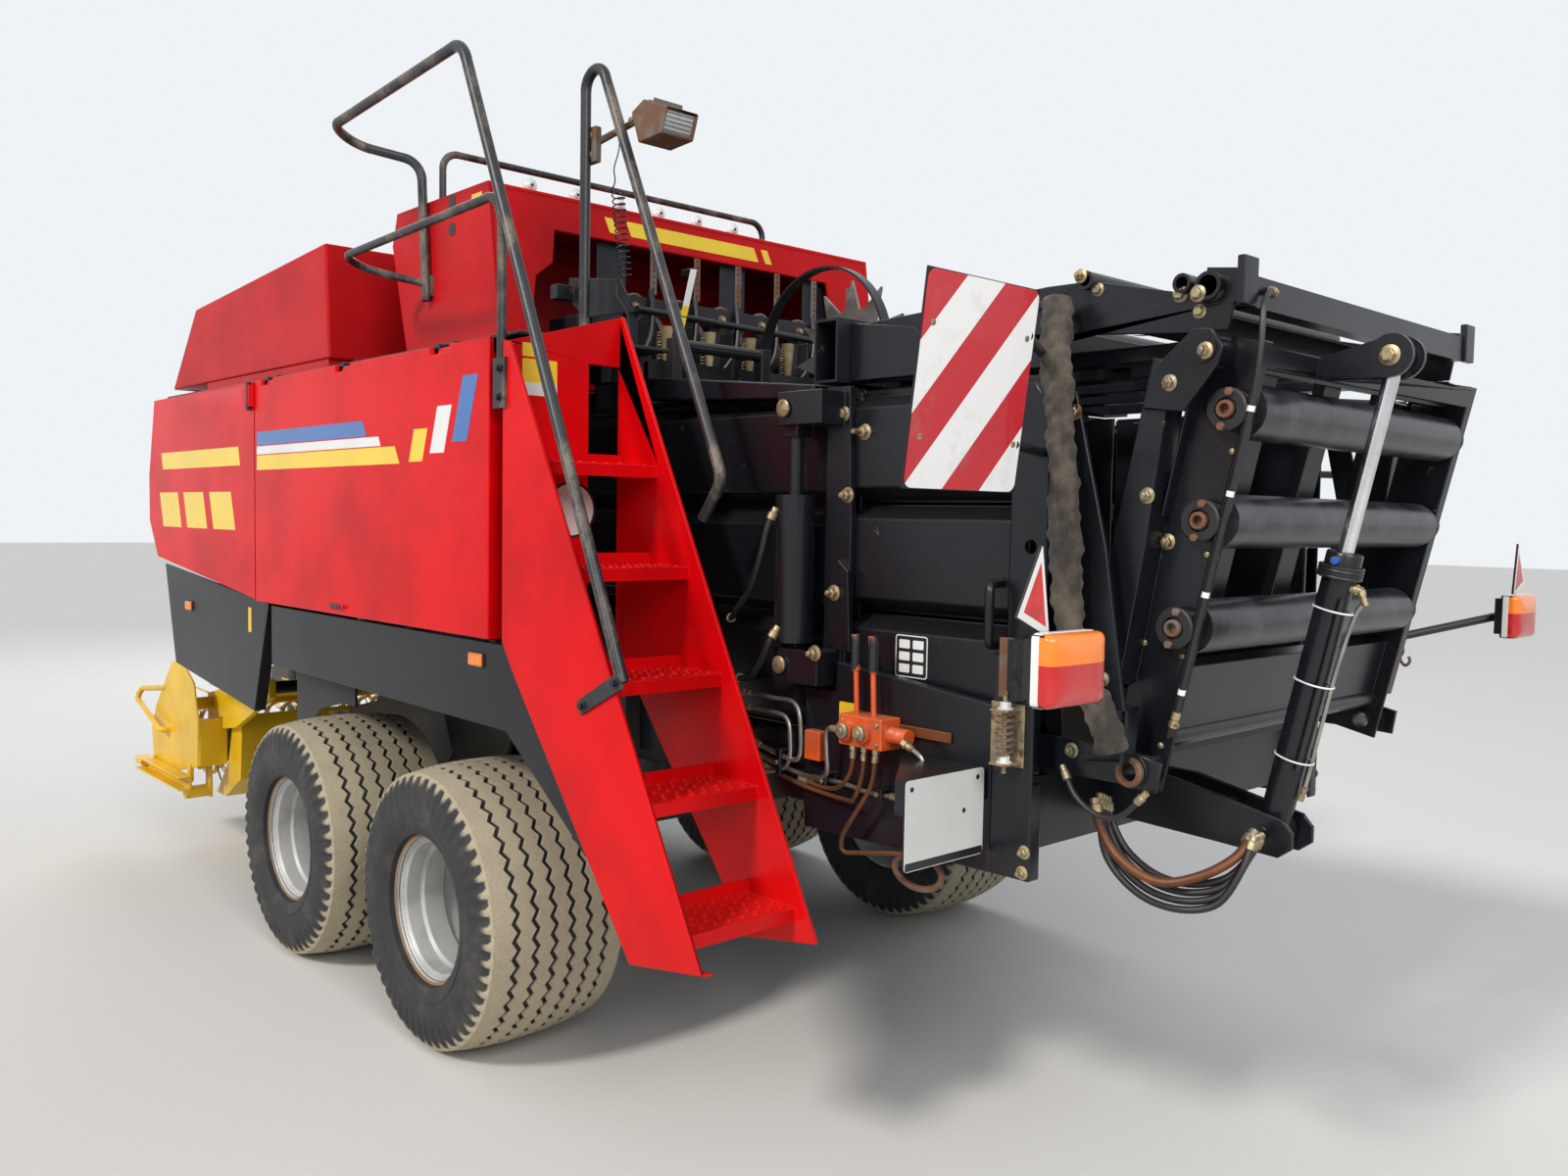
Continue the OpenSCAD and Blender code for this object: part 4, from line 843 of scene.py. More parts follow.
def rim_shape(node):
    """A rim: a section of disc, well and flanges turned round the axle, with hub, nuts and valve."""
    low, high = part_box(node)
    centre = middle(node) - TANDEM
    half, r = (high[1] - low[1]) / 2, (high[2] - low[2]) / 2
    out = np.sign(centre[1]) * Y
    # rows of (place towards the outside, radius, rust), from the back of the disc round the far flange and
    # the near one to the disc's face and its middle
    back = [
        (half - 0.285, 0, 0), (half - 0.290, r - 0.070, 0), (-half + 0.030, r - 0.045, 0),
        (-half, r - 0.012, 0), (-half, r, 0), (-half + 0.010, r - 0.010, 0), (-half + 0.030, r - 0.032, 0),
        (half - 0.300, r - 0.045, 0), (half - 0.235, r - 0.045, 0), (half - 0.030, r - 0.032, 0),
        (half - 0.016, r - 0.016, 0), (half - 0.006, r - 0.010, 0),
    ]
    front = [
        (half, r - 0.014, 1), (half, r - 0.004, 1), (half - 0.004, r, 1), (half - 0.012, r - 0.001, 1),
        (half - 0.016, r - 0.012, 0.8), (half - 0.020, r - 0.022, 0.5), (half - 0.060, r - 0.024, 0.1),
        (half - 0.072, r - 0.030, 0), (half - 0.085, r - 0.046, 0), (half - 0.150, r - 0.050, 0.1),
        (half - 0.165, r - 0.036, 0), (half - 0.235, r - 0.036, 0.2), (half - 0.250, r - 0.060, 0.7),
        (half - 0.262, r - 0.085, 0.3), (half - 0.270, r - 0.120, 0), (half - 0.272, 0.085, 0.2),
        (half - 0.270, 0.078, 0.6), (half - 0.235, 0.076, 0.3), (half - 0.228, 0.070, 0),
        (half - 0.226, 0, 0),
    ]
    section = np.array(back + front)
    shape = Shape("rim").lathe(centre, out, section[:, :2], 72, mark=section[:, 2])
    disc, hub = half - 0.272, half - 0.229
    cap = [(0, 0.058), (0.030, 0.056), (0.036, 0.050), (0.040, 0)]
    shape.lathe(centre + hub * out, out, cap, 32, "plastic")
    for way in spoke(0.2 + around(8)):
        bolt(shape, centre + disc * out + 0.118 * way, out, 0.027, thread=0.014)
    way = spoke(np.array(2.2))
    valve = centre + (half - 0.160) * out + (r - 0.056) * way
    shape.tube(np.linspace(valve, valve + 0.05 * out - 0.018 * way, 3), 0.006, 10, "rusty")
    return shape


class BALER_OT_wheels(bpy.types.Operator):
    """Builds the four tyres with their grooves and the four rims"""

    bl_idname = "baler.wheels"
    bl_label = "Wheels"

    def execute(self, context):
        look = context.scene.baler_look
        for corner in ("front_left", "front_right", "rear_left", "rear_right"):
            tyre, rim = "tyre_" + corner, "rim_" + corner
            body = frame["nodes"][tyre]["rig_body"]
            tyre_shape(look, tyre).piece("grooved_" + tyre, body, "tyre", [tyre], 28)
            rim_shape(rim).piece("turned_" + rim, body, "rim_paint", [rim], 40)
        return {"FINISHED"}


# trim of the doors, the skirts, the hood and the ladder

DOOR_EDGE = 0.845
# main door's bands: finish, top, lower edge, rear end of the top edge
DOOR_BANDS = [("blue", 1.995, 1.943, -0.12), ("film", 1.939, 1.908, -0.24), ("gold", 1.904, 1.848, -0.36)]
# slanted blocks that rise behind the bands: finish, front end, lower edge, height
DOOR_BLOCKS = [("gold", -0.46, 1.852, 0.10), ("film", -0.60, 1.875, 0.14), ("blue", -0.74, 1.905, 0.19)]
# the main door's grip: places along the machine and, out of the door's face, to the left
GRIP_HEIGHT = 1.365
GRIP = [(0.028, -0.004), (0.034, 0.008), (0.080, 0.010), (0.126, 0.008), (0.132, -0.004)]


class BALER_OT_doors(bpy.types.Operator):
    """Lays plain bands on the side doors and adds their grips and latches"""

    bl_idname = "baler.doors"
    bl_label = "Bands, grips and latches"

    def execute(self, context):
        skin = skin_at(["door_main_left"], 0.3, 1.75)
        main, front = Shape("plastic"), Shape("gold")
        for finish, top, low, end in DOOR_BANDS:
            slant = 0.6 * (top - low)
            band = [(DOOR_EDGE, top), (end, top), (end - slant, low), (DOOR_EDGE, low)]
            side_film(main, band, skin, finish)
        for finish, x, low, tall in DOOR_BLOCKS:
            side_film(main, slanted(x, low, -0.09, tall, -0.35 * tall), skin, finish)
        main.tube(flow([(x, skin + out, GRIP_HEIGHT) for x, out in GRIP], 0.008), 0.0065)
        side_film(front, slanted(1.03, 1.87, 1.0, 0.075, 0.02), skin)
        for x in (1.09, 1.43, 1.77):
            side_film(front, slanted(x, 1.61, 0.26, 0.155, 0.05), skin)
        # latch of the front door
        front.block((0.884, skin - 0.001, 2.098), (0.962, skin + 0.0165, 2.178), 0.006, "ladder")
        front.block((0.894, skin, 2.082), (0.914, skin + 0.019, 2.192), 0.003, "plastic")
        pair(main, "door_bands", "main_door", "board")
        pair(front, "front_door_bands", "front_door", "board")
        return {"FINISHED"}


# seen from the left: places along the machine and heights
REFLECTORS = [(1.755, 1.26), (-0.846, 1.266)]
SKIRT_LABEL = (1.012, 1.25)
# places of the hood's holes; each is drawn as a dark disc, painted shade of the hole's inside
HOOD_HOLES = [(-0.05, 2.79), (-0.05, 2.693)]
HOOD_LABEL = (-0.225, 2.766)
RAIL_BOLTS = [(-1.02, 2.10), (-1.02, 2.02), (-1.45, 1.205), (-1.595, 1.28)]
# the arch's rear face leans by this angle; its bar is laid out from a point on the upper edge
ARCH_LEAN = math.radians(8)
ARCH_EDGE = (-0.298, 0, 2.806)
# rear face of the ladder's red sheet, and the tops of its treads
RISER = -1.042
TREADS = (0.696, 0.986, 1.271, 1.556, 1.841)


def arch_bar(shape):
    """Plain bar between two short blocks on the arch's rear face."""
    up = np.array([math.sin(ARCH_LEAN), 0, math.cos(ARCH_LEAN)])
    for across, width in ((0.335, -0.623), (0.395, 0.035), (-0.360, 0.035)):
        outline = slanted(across, -0.085, width, 0.055, 0.02)
        shape.plate(on_plane(outline, ARCH_EDGE, Y, up), rearward(up), 0.0008, "gold")


def grip_teeth(shape):
    """Short open rings on each tread, whose rows shift to one side or the other."""
    ring = [(-0.001, 0.0105), (0.003, 0.0095), (0.0042, 0.0070), (0.003, 0.0045), (-0.001, 0.0040)]
    for top in TREADS:
        edge = touch(["ladder"], (-2.3, 1.08, top - 0.003), X)[0]
        for x in np.arange(edge + 0.030, edge + 0.175, 0.036):
            shift = 0.011 * math.copysign(1, math.sin(900 * x))
            for y in np.arange(0.925, 1.245, 0.044):
                shape.lathe((x, y + shift, top), Z, ring, 10, ends="joined")


class BALER_OT_trim(bpy.types.Operator):
    """Adds reflectors, labels and the hood's plain bar, and the ladder's grip teeth and signs"""

    bl_idname = "baler.trim"
    bl_label = "Reflectors, labels and ladder trim"

    def execute(self, context):
        trim = Shape("gold")
        for x, z in REFLECTORS:
            at = np.array([x, skin_at(["skirts"], x, z), z])
            trim.block(at - (0.042, 0.002, 0.023), at + (0.042, 0.004, 0.023), 0.002, "plastic")
            # the reflector's amber glass glows a little: painted light
            trim.block(at + (-0.038, 0.002, -0.019), at + (0.038, 0.012, 0.019), 0.004, "amber")
        skirt = skin_at(["skirts"], *SKIRT_LABEL)
        side_film(trim, rounded(0.034, 0.10, 0.004, *SKIRT_LABEL), skirt, "label")
        trim.both()
        arch_bar(trim)
        hood = skin_at(["arch_hood"], -0.24, 2.74)
        # dark discs on the hood stand for its holes: painted shade
        for x, z in HOOD_HOLES:
            trim.lathe((x, hood, z), Y, [(-0.002, 0.024), (0.0015, 0.024)], 24, "plastic")
        side_film(trim, rounded(0.07, 0.045, 0.004, *HOOD_LABEL), hood)
        trim.piece("reflectors_and_labels", "chassis", "lamp_plastic")

        ladder = Shape("ladder")
        rear_film(ladder, rounded(0.113, 0.10, 0.004, 1.166, 2.083), RISER, "label")
        rear_film(ladder, rounded(0.113, 0.036, 0.003, 1.166, 2.049), RISER - 0.0008, "white", 0.0004)
        rear_film(ladder, rounded(0.045, 0.038, 0.003, 1.20, 2.158), RISER, "label")
        disc = spoke(around(48))[:, [0, 2]]
        rear_film(ladder, 0.083 * disc + (1.058, 1.711), RISER, "plastic")
        rear_film(ladder, 0.075 * disc + (1.058, 1.711), RISER - 0.0008, "white", 0.0004)
        grip_teeth(ladder)
        for x, z in RAIL_BOLTS:
            bolt(ladder, (x, skin_at(["handrails", "ladder"], x, z), z), Y, 0.017, "black")
        ladder.piece("ladder_trim", "chassis", "red_paint")
        return {"FINISHED"}


# trim of the rear: bolts, boards, lamps and plates

REAR = ["chamber_walls", "rear_stays", "top_frame", "tension_cylinders", "frame", "tension_doors"]

# bolts seen from the left: place along the machine, height, width across flats, bare thread
SIDE_BOLTS = [
    (-1.858, 1.926, 0.025, 0.030), (-1.819, 1.760, 0.025, 0.012), (-1.790, 1.500, 0.025, 0.012),
    (-1.794, 1.343, 0.025, 0.012), (-1.800, 1.975, 0.023, 0.0), (-2.520, 1.943, 0.021, 0.0),
    (-2.496, 1.173, 0.021, 0.006), (-2.612, 1.355, 0.020, 0.006), (-2.442, 0.939, 0.019, 0.008),
    (-2.437, 0.890, 0.019, 0.008), (-2.767, 2.149, 0.018, 0.0), (-2.721, 2.190, 0.021, 0.0),
    (-2.775, 2.182, 0.021, 0.0), (-2.483, 2.256, 0.019, 0.008), (-2.514, 2.225, 0.018, 0.0),
]
# pin caps of the tension cylinder, and bolts of the chute's strap and column, seen from the left
PIN_CAPS = [(-1.66, 1.30), (-1.66, 1.99)]
STRAP_BOLTS = [(-2.725, 1.998), (-2.674, 1.759), (-2.686, 1.659), (-2.807, 2.059)]

# the chute leans by this angle; its zero is the pivot
LEAN = math.radians(12.5)
ALONG_A = np.array([math.cos(LEAN), 0, math.sin(LEAN)])
ALONG_U = np.array([-math.sin(LEAN), 0, math.cos(LEAN)])
PIVOT = np.array([-2.655, 0, 1.150])
# rivets on the chute's channel: place square to its plane, places up its plane
RIVETS = [(-0.018, (0.06, 0.27, 0.50, 0.725)), (0.079, (0.27, 0.50))]

# the chute's cylinder, at the middles of its two pins
FOOT = np.array([-2.820, 0.300, 1.000])
EYE = np.array([-3.0515, 0.300, 2.0608])


def on_chute(a, y, u):
    """Machine point from the chute's own places: square to its plane, to the left, and up its plane."""
    return PIVOT + a * ALONG_A + y * Y + u * ALONG_U


def roller_bearing(shape, node):
    """A roller's flanged bearing on the chute's side: a black ring, a rusty cup in it and two bolts."""
    x, _, z = middle(node) - TANDEM
    at = (x, touch(["chute_frame"], (x, 1.2, z) + 0.030 * ALONG_U, -Y)[1], z)
    ring = [(-0.002, 0.046), (0.010, 0.046), (0.013, 0.042), (0.013, 0.025), (-0.002, 0.024)]
    cup = [(-0.010, 0.019), (0.019, 0.019), (0.021, 0.017), (0.021, 0.012), (0.004, 0.011)]
    shape.lathe(at, Y, ring, 28, "plastic", ends="joined")
    shape.lathe(at, Y, cup, 20, "rusty")
    for way in (ALONG_U, -ALONG_U):
        bolt(shape, at + 0.037 * way + 0.012 * Y, Y, 0.016, "rusty", False)


class BALER_OT_bolts(bpy.types.Operator):
    """Puts zinc bolts on the rear's frames and dresses the chute's bearings"""

    bl_idname = "baler.bolts"
    bl_label = "Bolts and bearings"

    def execute(self, context):
        rear = Shape("zinc")
        for x, z, across, thread in SIDE_BOLTS:
            bolt(rear, (x, skin_at(REAR, x, z), z), Y, across, thread=thread)
        for x, z in PIN_CAPS:
            rear.lathe((x, skin_at(REAR, x, z), z), Y, [(0, 0.024), (0.006, 0.024), (0.008, 0.021)])
        ring = [(-0.006, 0.034), (0.004, 0.034), (0.007, 0.030), (0.007, 0.022), (-0.006, 0.021)]
        rear.lathe(PIVOT + 0.648 * Y, Y, ring, 32, "rusty", ends="joined")
        rear.both().piece("rear_bolts", "chassis", "steel")

        chute = Shape("zinc")
        for node in ("roller_low", "roller_mid", "roller_top"):
            roller_bearing(chute, node)
        for a, places in RIVETS:
            for x, _, z in (on_chute(a, 0, u) for u in places):
                rivet = [(0, 0.008), (0.003, 0.007), (0.005, 0.004), (0.0055, 0)]
                chute.lathe((x, skin_at(["chute_frame"], x, z), z), Y, rivet, 12)
        for x, z in STRAP_BOLTS:
            bolt(chute, (x, skin_at(["chute_frame"], x, z), z), Y, 0.021, thread=0.006)
        chute.both()
        bolt(chute, EYE + 0.037 * Y, Y, 0.026)
        bolt(chute, EYE - 0.037 * Y, -Y, 0.026, thread=0.006)
        chute.piece("chute_bearings", "chute", "steel")
        return {"FINISHED"}


# warning board: the middle of its lower edge and the way up its slope
BOARD_FOOT = np.array([-2.545, 1.1175, 1.757])
BOARD_UP = np.array([-0.1305, 0, 0.9914])
# triangle's corners, as (y, z), and the rear face that carries it
TRIANGLE = np.array([[1.205, 1.490], [1.300, 1.531], [1.232, 1.656]])
TRIANGLE_SEAT = -2.830
# number plate: rear face of its holder, middle, and the bolts in it
PLATE_SEAT = -2.326
PLATE_MIDDLE = (0.878, 1.018)
PLATE_BOLTS = [(0.995, 1.10), (0.813, 1.028), (0.765, 1.10)]
# rear lamp: middle, width and height, and rows of (place along the machine, share of its outline)
LAMP_MIDDLE = (1.18, 1.436)
LAMP_SIZE = (0.176, 0.134)
LAMP_RIM = [(-2.838, 0), (-2.838, 1.0), (-2.853, 1.0), (-2.8535, 0.985)]
LAMP_GLASS = [(-2.8535, 0.985), (-2.866, 0.985), (-2.874, 0.955), (-2.8795, 0.88), (-2.8835, 0.70),
              (-2.885, 0.40), (-2.8852, 0)]


def warning_board(shape):
    """Striped sheet with round corners on the board, held by four bolts."""
    out = rearward(BOARD_UP)
    sheet = on_plane(rounded(0.341, 0.411, 0.020, 0, 0.2075), BOARD_FOOT, Y, BOARD_UP)
    shape.plate(sheet, out, 0.0014, "board")
    for across in (-0.1475, 0.1425):
        for high in (0.10, 0.315):
            at = BOARD_FOOT + across * Y + high * BOARD_UP + 0.0012 * out
            shape.lathe(at, out, [(0, 0.007), (0.002, 0.006), (0.0025, 0)], 10)


class BALER_OT_signs(bpy.types.Operator):
    """Lays the warning sheets, the blank number plate, the lamps' lenses and the triangles"""

    bl_idname = "baler.signs"
    bl_label = "Boards, lamps and plate"

    def execute(self, context):
        signs = Shape("zinc")
        warning_board(signs)
        centre = TRIANGLE.mean(0)
        rear_film(signs, centre + 0.985 * (TRIANGLE - centre), TRIANGLE_SEAT, "film", 0.0012)
        # the triangle's red glass glows a little: painted light
        rear_film(signs, centre + 0.6895 * (TRIANGLE - centre), TRIANGLE_SEAT - 0.0012, "ruby", 0.0006)
        signs.both().piece("warning_sheets", "chassis", "board")

        plate = Shape("plastic")
        across, up = PLATE_MIDDLE
        rear_film(plate, rounded(0.274, 0.206, 0.010, across, up), PLATE_SEAT, "white", 0.0015)
        rear_film(plate, rounded(0.270, 0.018, 0.004, across, up - 0.092), PLATE_SEAT - 0.0015, thick=0.0006)
        for y, z in PLATE_BOLTS:
            plate.lathe((PLATE_SEAT - 0.0013, y, z), -X, [(0, 0.006), (0.0015, 0.0055), (0.002, 0)], 12)
        plate.piece("blank_number_plate", "chassis", "board")

        lamp = Shape("lens")
        outline = rounded(1.0, 1.0, 0.085) * LAMP_SIZE
        for rows, finish in ((LAMP_RIM, "film"), (LAMP_GLASS, "lens")):
            rings = [on_plane(share * outline + LAMP_MIDDLE, (x, 0, 0), Y, Z) for x, share in rows]
            lamp.grid(np.stack(rings), ring_columns=True, finish=finish)
        lamp.both().piece("lamp_lenses", "chassis", "lamp_plastic", smooth=50)
        return {"FINISHED"}


# hydraulics, hoses and cords


def ends_of(path):
    """Both ends of a path, each with the way that it points."""
    return [(end, unit(end - before)) for end, before in ((path[0], path[2]), (path[-1], path[-3]))]


def hose(shape, points, radius, finish=None, fitting=None):
    """A hose or pipe through points, with a sleeve and a nut at each end where their finish is given."""
    path = flow(points, 0.012)
    shape.tube(path, radius, finish=finish)
    if fitting:
        for end, axis in ends_of(path):
            crimp = [(0, 1.45 * radius), (0.016, 1.5 * radius), (0.018, 1.2 * radius),
                     (0.024, 1.2 * radius)]
            shape.lathe(end - 0.034 * axis, axis, crimp, 12, fitting)
            nut = [(0, 1.75 * radius), (0.013, 1.75 * radius), (0.014, 0)]
            shape.lathe(end - 0.012 * axis, axis, nut, 6, fitting)


def cord(shape, name, diameter, slot="black_paint", smooth=35.0):
    """The shape as a piece of its own."""
    item = shape.piece(name, "chassis", slot, smooth=smooth)


def free_hose(fittings, name, radius, finish, points):
    """A hose that hangs between two seats, as a piece of its own, with a stepped fitting at each end."""
    path = flow(points, 0.012)
    cord(Shape(finish).tube(path, radius, 12), name, 2 * radius)
    stepped = [(0, radius), (0, 1.4 * radius), (0.018, 1.45 * radius), (0.020, 1.15 * radius),
               (0.034, 1.1 * radius), (0.035, 0)]
    for end, axis in ends_of(path):
        fittings.lathe(end - 0.030 * axis, axis, stepped, 14, ends="open")


# steel pipes of the rear left corner: elbow from the valve block to the frame, from the block's left end
# to the plate's side, along the frame, and two loops before the ladder
PIPES = [
    [(-1.900, 0.790, 1.154), (-1.850, 0.790, 1.150), (-1.843, 0.785, 1.094), (-1.820, 0.765, 1.020),
     (-1.710, 0.745, 1.002), (-1.527, 0.740, 1.028), (-1.480, 0.728, 1.040)],
    [(-2.110, 0.784, 1.150), (-2.165, 0.784, 1.125), (-2.175, 0.770, 1.090), (-2.180, 0.735, 1.070)],
    [(-2.069, 0.742, 1.000), (-1.950, 0.741, 0.995), (-1.850, 0.741, 1.003), (-1.748, 0.742, 0.998)],
    [(-1.460, 0.745, 1.200), (-1.585, 0.745, 1.197), (-1.680, 0.745, 1.190), (-1.702, 0.745, 1.110),
     (-1.690, 0.745, 1.040), (-1.600, 0.745, 1.045), (-1.500, 0.738, 1.062)],
    [(-1.460, 0.745, 1.160), (-1.560, 0.745, 1.158), (-1.640, 0.745, 1.150), (-1.660, 0.745, 1.100),
     (-1.650, 0.745, 1.020), (-1.560, 0.745, 0.985), (-1.450, 0.735, 0.960)],
]

# orange-brown pipes below the valve block
RUST_PIPES = [
    [(-1.985, 0.790, 1.122), (-1.980, 0.792, 1.050), (-1.950, 0.788, 0.985), (-1.900, 0.770, 0.970),
     (-1.710, 0.745, 0.973), (-1.550, 0.738, 1.000)],
    [(-2.025, 0.790, 1.122), (-2.012, 0.792, 1.030), (-1.955, 0.790, 0.945), (-1.908, 0.785, 0.880),
     (-1.905, 0.780, 0.838), (-1.955, 0.770, 0.842), (-2.066, 0.750, 0.860), (-2.120, 0.735, 0.862)],
    [(-1.945, 0.790, 1.122), (-1.940, 0.790, 1.060), (-1.900, 0.785, 1.010), (-1.820, 0.760, 0.985),
     (-1.700, 0.742, 0.988)],
]

# hoses of the tension cylinder and by the chute's pivot: piece, radius, finish, points
CYLINDER_HOSES = [
    ("cylinder_hose_upper", 0.0095, "hose",
     [(-1.640, 0.796, 1.720), (-1.626, 0.812, 1.670), (-1.602, 0.815, 1.590), (-1.545, 0.800, 1.500),
      (-1.460, 0.770, 1.440), (-1.390, 0.730, 1.410), (-1.340, 0.700, 1.400)]),
    ("cylinder_hose_lower", 0.0095, "hose",
     [(-1.655, 0.796, 1.400), (-1.640, 0.812, 1.360), (-1.600, 0.800, 1.310), (-1.520, 0.765, 1.255),
      (-1.440, 0.730, 1.235), (-1.380, 0.700, 1.230)]),
]
PIVOT_HOSES = [
    ("rusty_loop", 0.0110, "copper",
     [(-2.500, 0.540, 1.045), (-2.520, 0.548, 0.990), (-2.580, 0.556, 0.925), (-2.680, 0.556, 0.893),
      (-2.760, 0.520, 0.915), (-2.815, 0.460, 0.960), (-2.826, 0.405, 1.010)]),
    ("pivot_loop", 0.0070, "hose",
     [(-2.492, 0.662, 1.137), (-2.530, 0.668, 1.080), (-2.590, 0.672, 1.046), (-2.650, 0.670, 1.053),
      (-2.708, 0.664, 1.112)]),
]
# innermost of the four loop hoses, and how much of each further one's drop a point takes
LOOP = [(-2.500, 0.486, 1.040), (-2.515, 0.488, 0.990), (-2.560, 0.492, 0.930), (-2.640, 0.500, 0.892),
        (-2.730, 0.500, 0.888), (-2.800, 0.470, 0.912), (-2.832, 0.430, 0.960), (-2.836, 0.388, 1.002)]
LOOP_DROP = np.array([-0.3, 1, 1, 1, 1, 1, 0.5, 0])[:, None]
SLEEVE = [(-2.440, 0.660, 2.200), (-2.468, 0.705, 2.088), (-2.505, 0.735, 1.944), (-2.529, 0.745, 1.780),
          (-2.540, 0.745, 1.620), (-2.556, 0.742, 1.466), (-2.590, 0.735, 1.360), (-2.628, 0.715, 1.270),
          (-2.640, 0.690, 1.205)]
# clamps that hold the pipes on the frame: place along the machine, lower and upper end
CLAMPS = [(-1.62, 0.985, 1.060), (-1.80, 0.975, 1.025), (-2.00, 0.985, 1.012)]


def valves(shape):
    """Lever grips, plugs and screws on the valve block, and the clamps and bracket of its pipes."""
    grip = [(0, 0.0125), (0.070, 0.0128), (0.086, 0.0115), (0.091, 0.008), (0.092, 0)]
    for x in (-1.984, -1.922):
        shape.lathe((x, 0.764, 1.312), Z, grip, 16, "plastic")
    for x in (-1.99, -1.93):
        shape.lathe((x, 0.812, 1.160), Y, [(0, 0.020), (0.010, 0.020), (0.014, 0.016)], 20, "zinc")
        bolt(shape, (x, 0.820, 1.160), Y, 0.018, washer=False)
    for x, z in itertools.product((-2.035, -1.915), (1.135, 1.185)):
        bolt(shape, (x, 0.800, z), Y, 0.011, washer=False)
    for x, low, high in CLAMPS:
        shape.block((x - 0.012, 0.720, low), (x + 0.012, 0.756, high), 0.004, "black")
        bolt(shape, (x, 0.756, (low + high) / 2), Y, 0.012, washer=False)
    shape.block((-2.218, 0.728, 1.158), (-1.998, 0.736, 1.184), 0.002, "copper")


def sleeve():
    """Canvas sleeve: a round section whose radius swells and creases along and round its path."""
    path, sides = flow(SLEEVE, 0.008), 28
    far = np.linspace(0, 1, len(path))[:, None]
    turn = around(sides)
    crease = 0.0032 * np.sin(46 * far + 2.2 * np.sin(turn)) * np.sin(1.5 * turn + 9 * far)
    crease = crease + 0.0026 * np.sin(93 * far + 3 * turn)
    crease = crease + 0.0020 * np.sin(171 * far - 2 * turn + 4 * far**2)
    radius = 0.0325 + crease + 0.003 * np.sin(14 * far)
    cord(Shape("canvas").tube(path, radius, sides), "canvas_sleeve", 0.065, smooth=80)


class BALER_OT_hydraulics(bpy.types.Operator):
    """Builds pipes, valve fittings, hanging hoses and the canvas sleeve of the rear"""

    bl_idname = "baler.hydraulics"
    bl_label = "Pipes, valves and hoses"

    def execute(self, context):
        pipes = Shape("pipe")
        for points in PIPES:
            hose(pipes, points, 0.0065, "pipe", "zinc")
        for points in RUST_PIPES:
            hose(pipes, points, 0.0060, "copper", "zinc")
        valves(pipes)
        pipes.piece("pipes_and_valves", "chassis", "steel")

        fittings = Shape("zinc")
        loops = [LOOP + 0.012 * k * Y - 0.017 * k * LOOP_DROP * Z for k in range(4)]
        loops = [(f"rear_loop_hose_{k}", 0.0085, "hose", points) for k, points in enumerate(loops, 1)]
        for row in [*CYLINDER_HOSES, *loops, *PIVOT_HOSES]:
            free_hose(fittings, *row)
        fittings.piece("hose_ends", "chassis", "steel")
        sleeve()
        return {"FINISHED"}


# rear corner: springs, straps, handles and chain

PANEL = (-2.037, 1.350)
SMALL_LABEL = (-1.858, 1.178)
HANDLE = [(-2.318, 0.684, 1.552), (-2.324, 0.728, 1.548), (-2.328, 0.738, 1.520), (-2.328, 0.738, 1.440),
          (-2.324, 0.728, 1.410), (-2.318, 0.690, 1.404)]
HOOK = [(-2.712, -0.668, 1.345), (-2.712, -0.668, 1.320), (-2.726, -0.668, 1.305), (-2.738, -0.668, 1.318),
        (-2.734, -0.668, 1.332)]


def oval(at, across, up, points=49):
    """A closed path round at, from its two half-axes."""
    turn = np.linspace(0, 2 * math.pi, points)[:, None]
    return at + np.cos(turn) * across + np.sin(turn) * up


def spring_bracket(shape):
    """Back plate and two shelves that hold a spring on its rod."""
    shape.block((-2.435, 0.732, 1.133), (-2.340, 0.737, 1.279), 0.001)
    shape.tube(coil((-2.400, 0.762, 1.158), (-2.400, 0.762, 1.262), 0.017, 7), 0.0028, 8, "rusty")
    shape.lathe((-2.400, 0.762, 1.120), Z, [(0, 0.006), (0.190, 0.006)], 12)
    for z in (1.140, 1.264):
        shape.block((-2.425, 0.735, z), (-2.375, 0.788, z + 0.005), 0.001)
        bolt(shape, (-2.400, 0.762, z + 0.005), Z, 0.022, "white")


def straps_and_handles(shape):
    """Strip with punched marks and its rusty neighbour, the grab handle and the oval ring on two posts."""
    shape.block((-2.450, 0.7555, 1.290), (-2.400, 0.7605, 1.430), 0.001, "black")
    for z in np.arange(1.305, 1.425, 0.022):
        shape.lathe((-2.425, 0.7605, z), Y, [(0, 0.0065), (0.0006, 0.0065)], 14, "plastic")
    shape.block((-2.400, 0.730, 1.290), (-2.362, 0.742, 1.430), 0.002, "rusty")
    shape.tube(flow(HANDLE, 0.008), 0.0115, 14, "black")
    shape.tube(oval((-2.040, 0.640, 0.790), 0.080 * X, 0.045 * Z), 0.009, 12, "rusty")
    for x in (-2.075, -2.005):
        shape.block((x - 0.008, 0.632, 0.828), (x + 0.008, 0.648, 0.905), 0.002, "black")


def label_panel(shape):
    """White panel with a dark field and six white squares on it, and a small label by the valves."""
    x, z = PANEL
    skin = skin_at(["tension_doors", "chamber_walls"], x, z)
    side_film(shape, rounded(0.108, 0.108, 0.008, x, z), skin, "film")
    side_film(shape, rounded(0.102, 0.102, 0.006, x, z), skin + 0.0006, "plastic", 0.0003)
    for column, row in itertools.product((-0.023, 0.023), (-0.031, 0, 0.031)):
        square = rounded(0.036, 0.022, 0.003, x + column, z + row)
        side_film(shape, square, skin + 0.0009, "film", 0.0003)
    skin = skin_at(["chamber_walls", "frame", "valve_block"], *SMALL_LABEL)
    side_film(shape, rounded(0.055, 0.075, 0.004, *SMALL_LABEL), skin, "label")


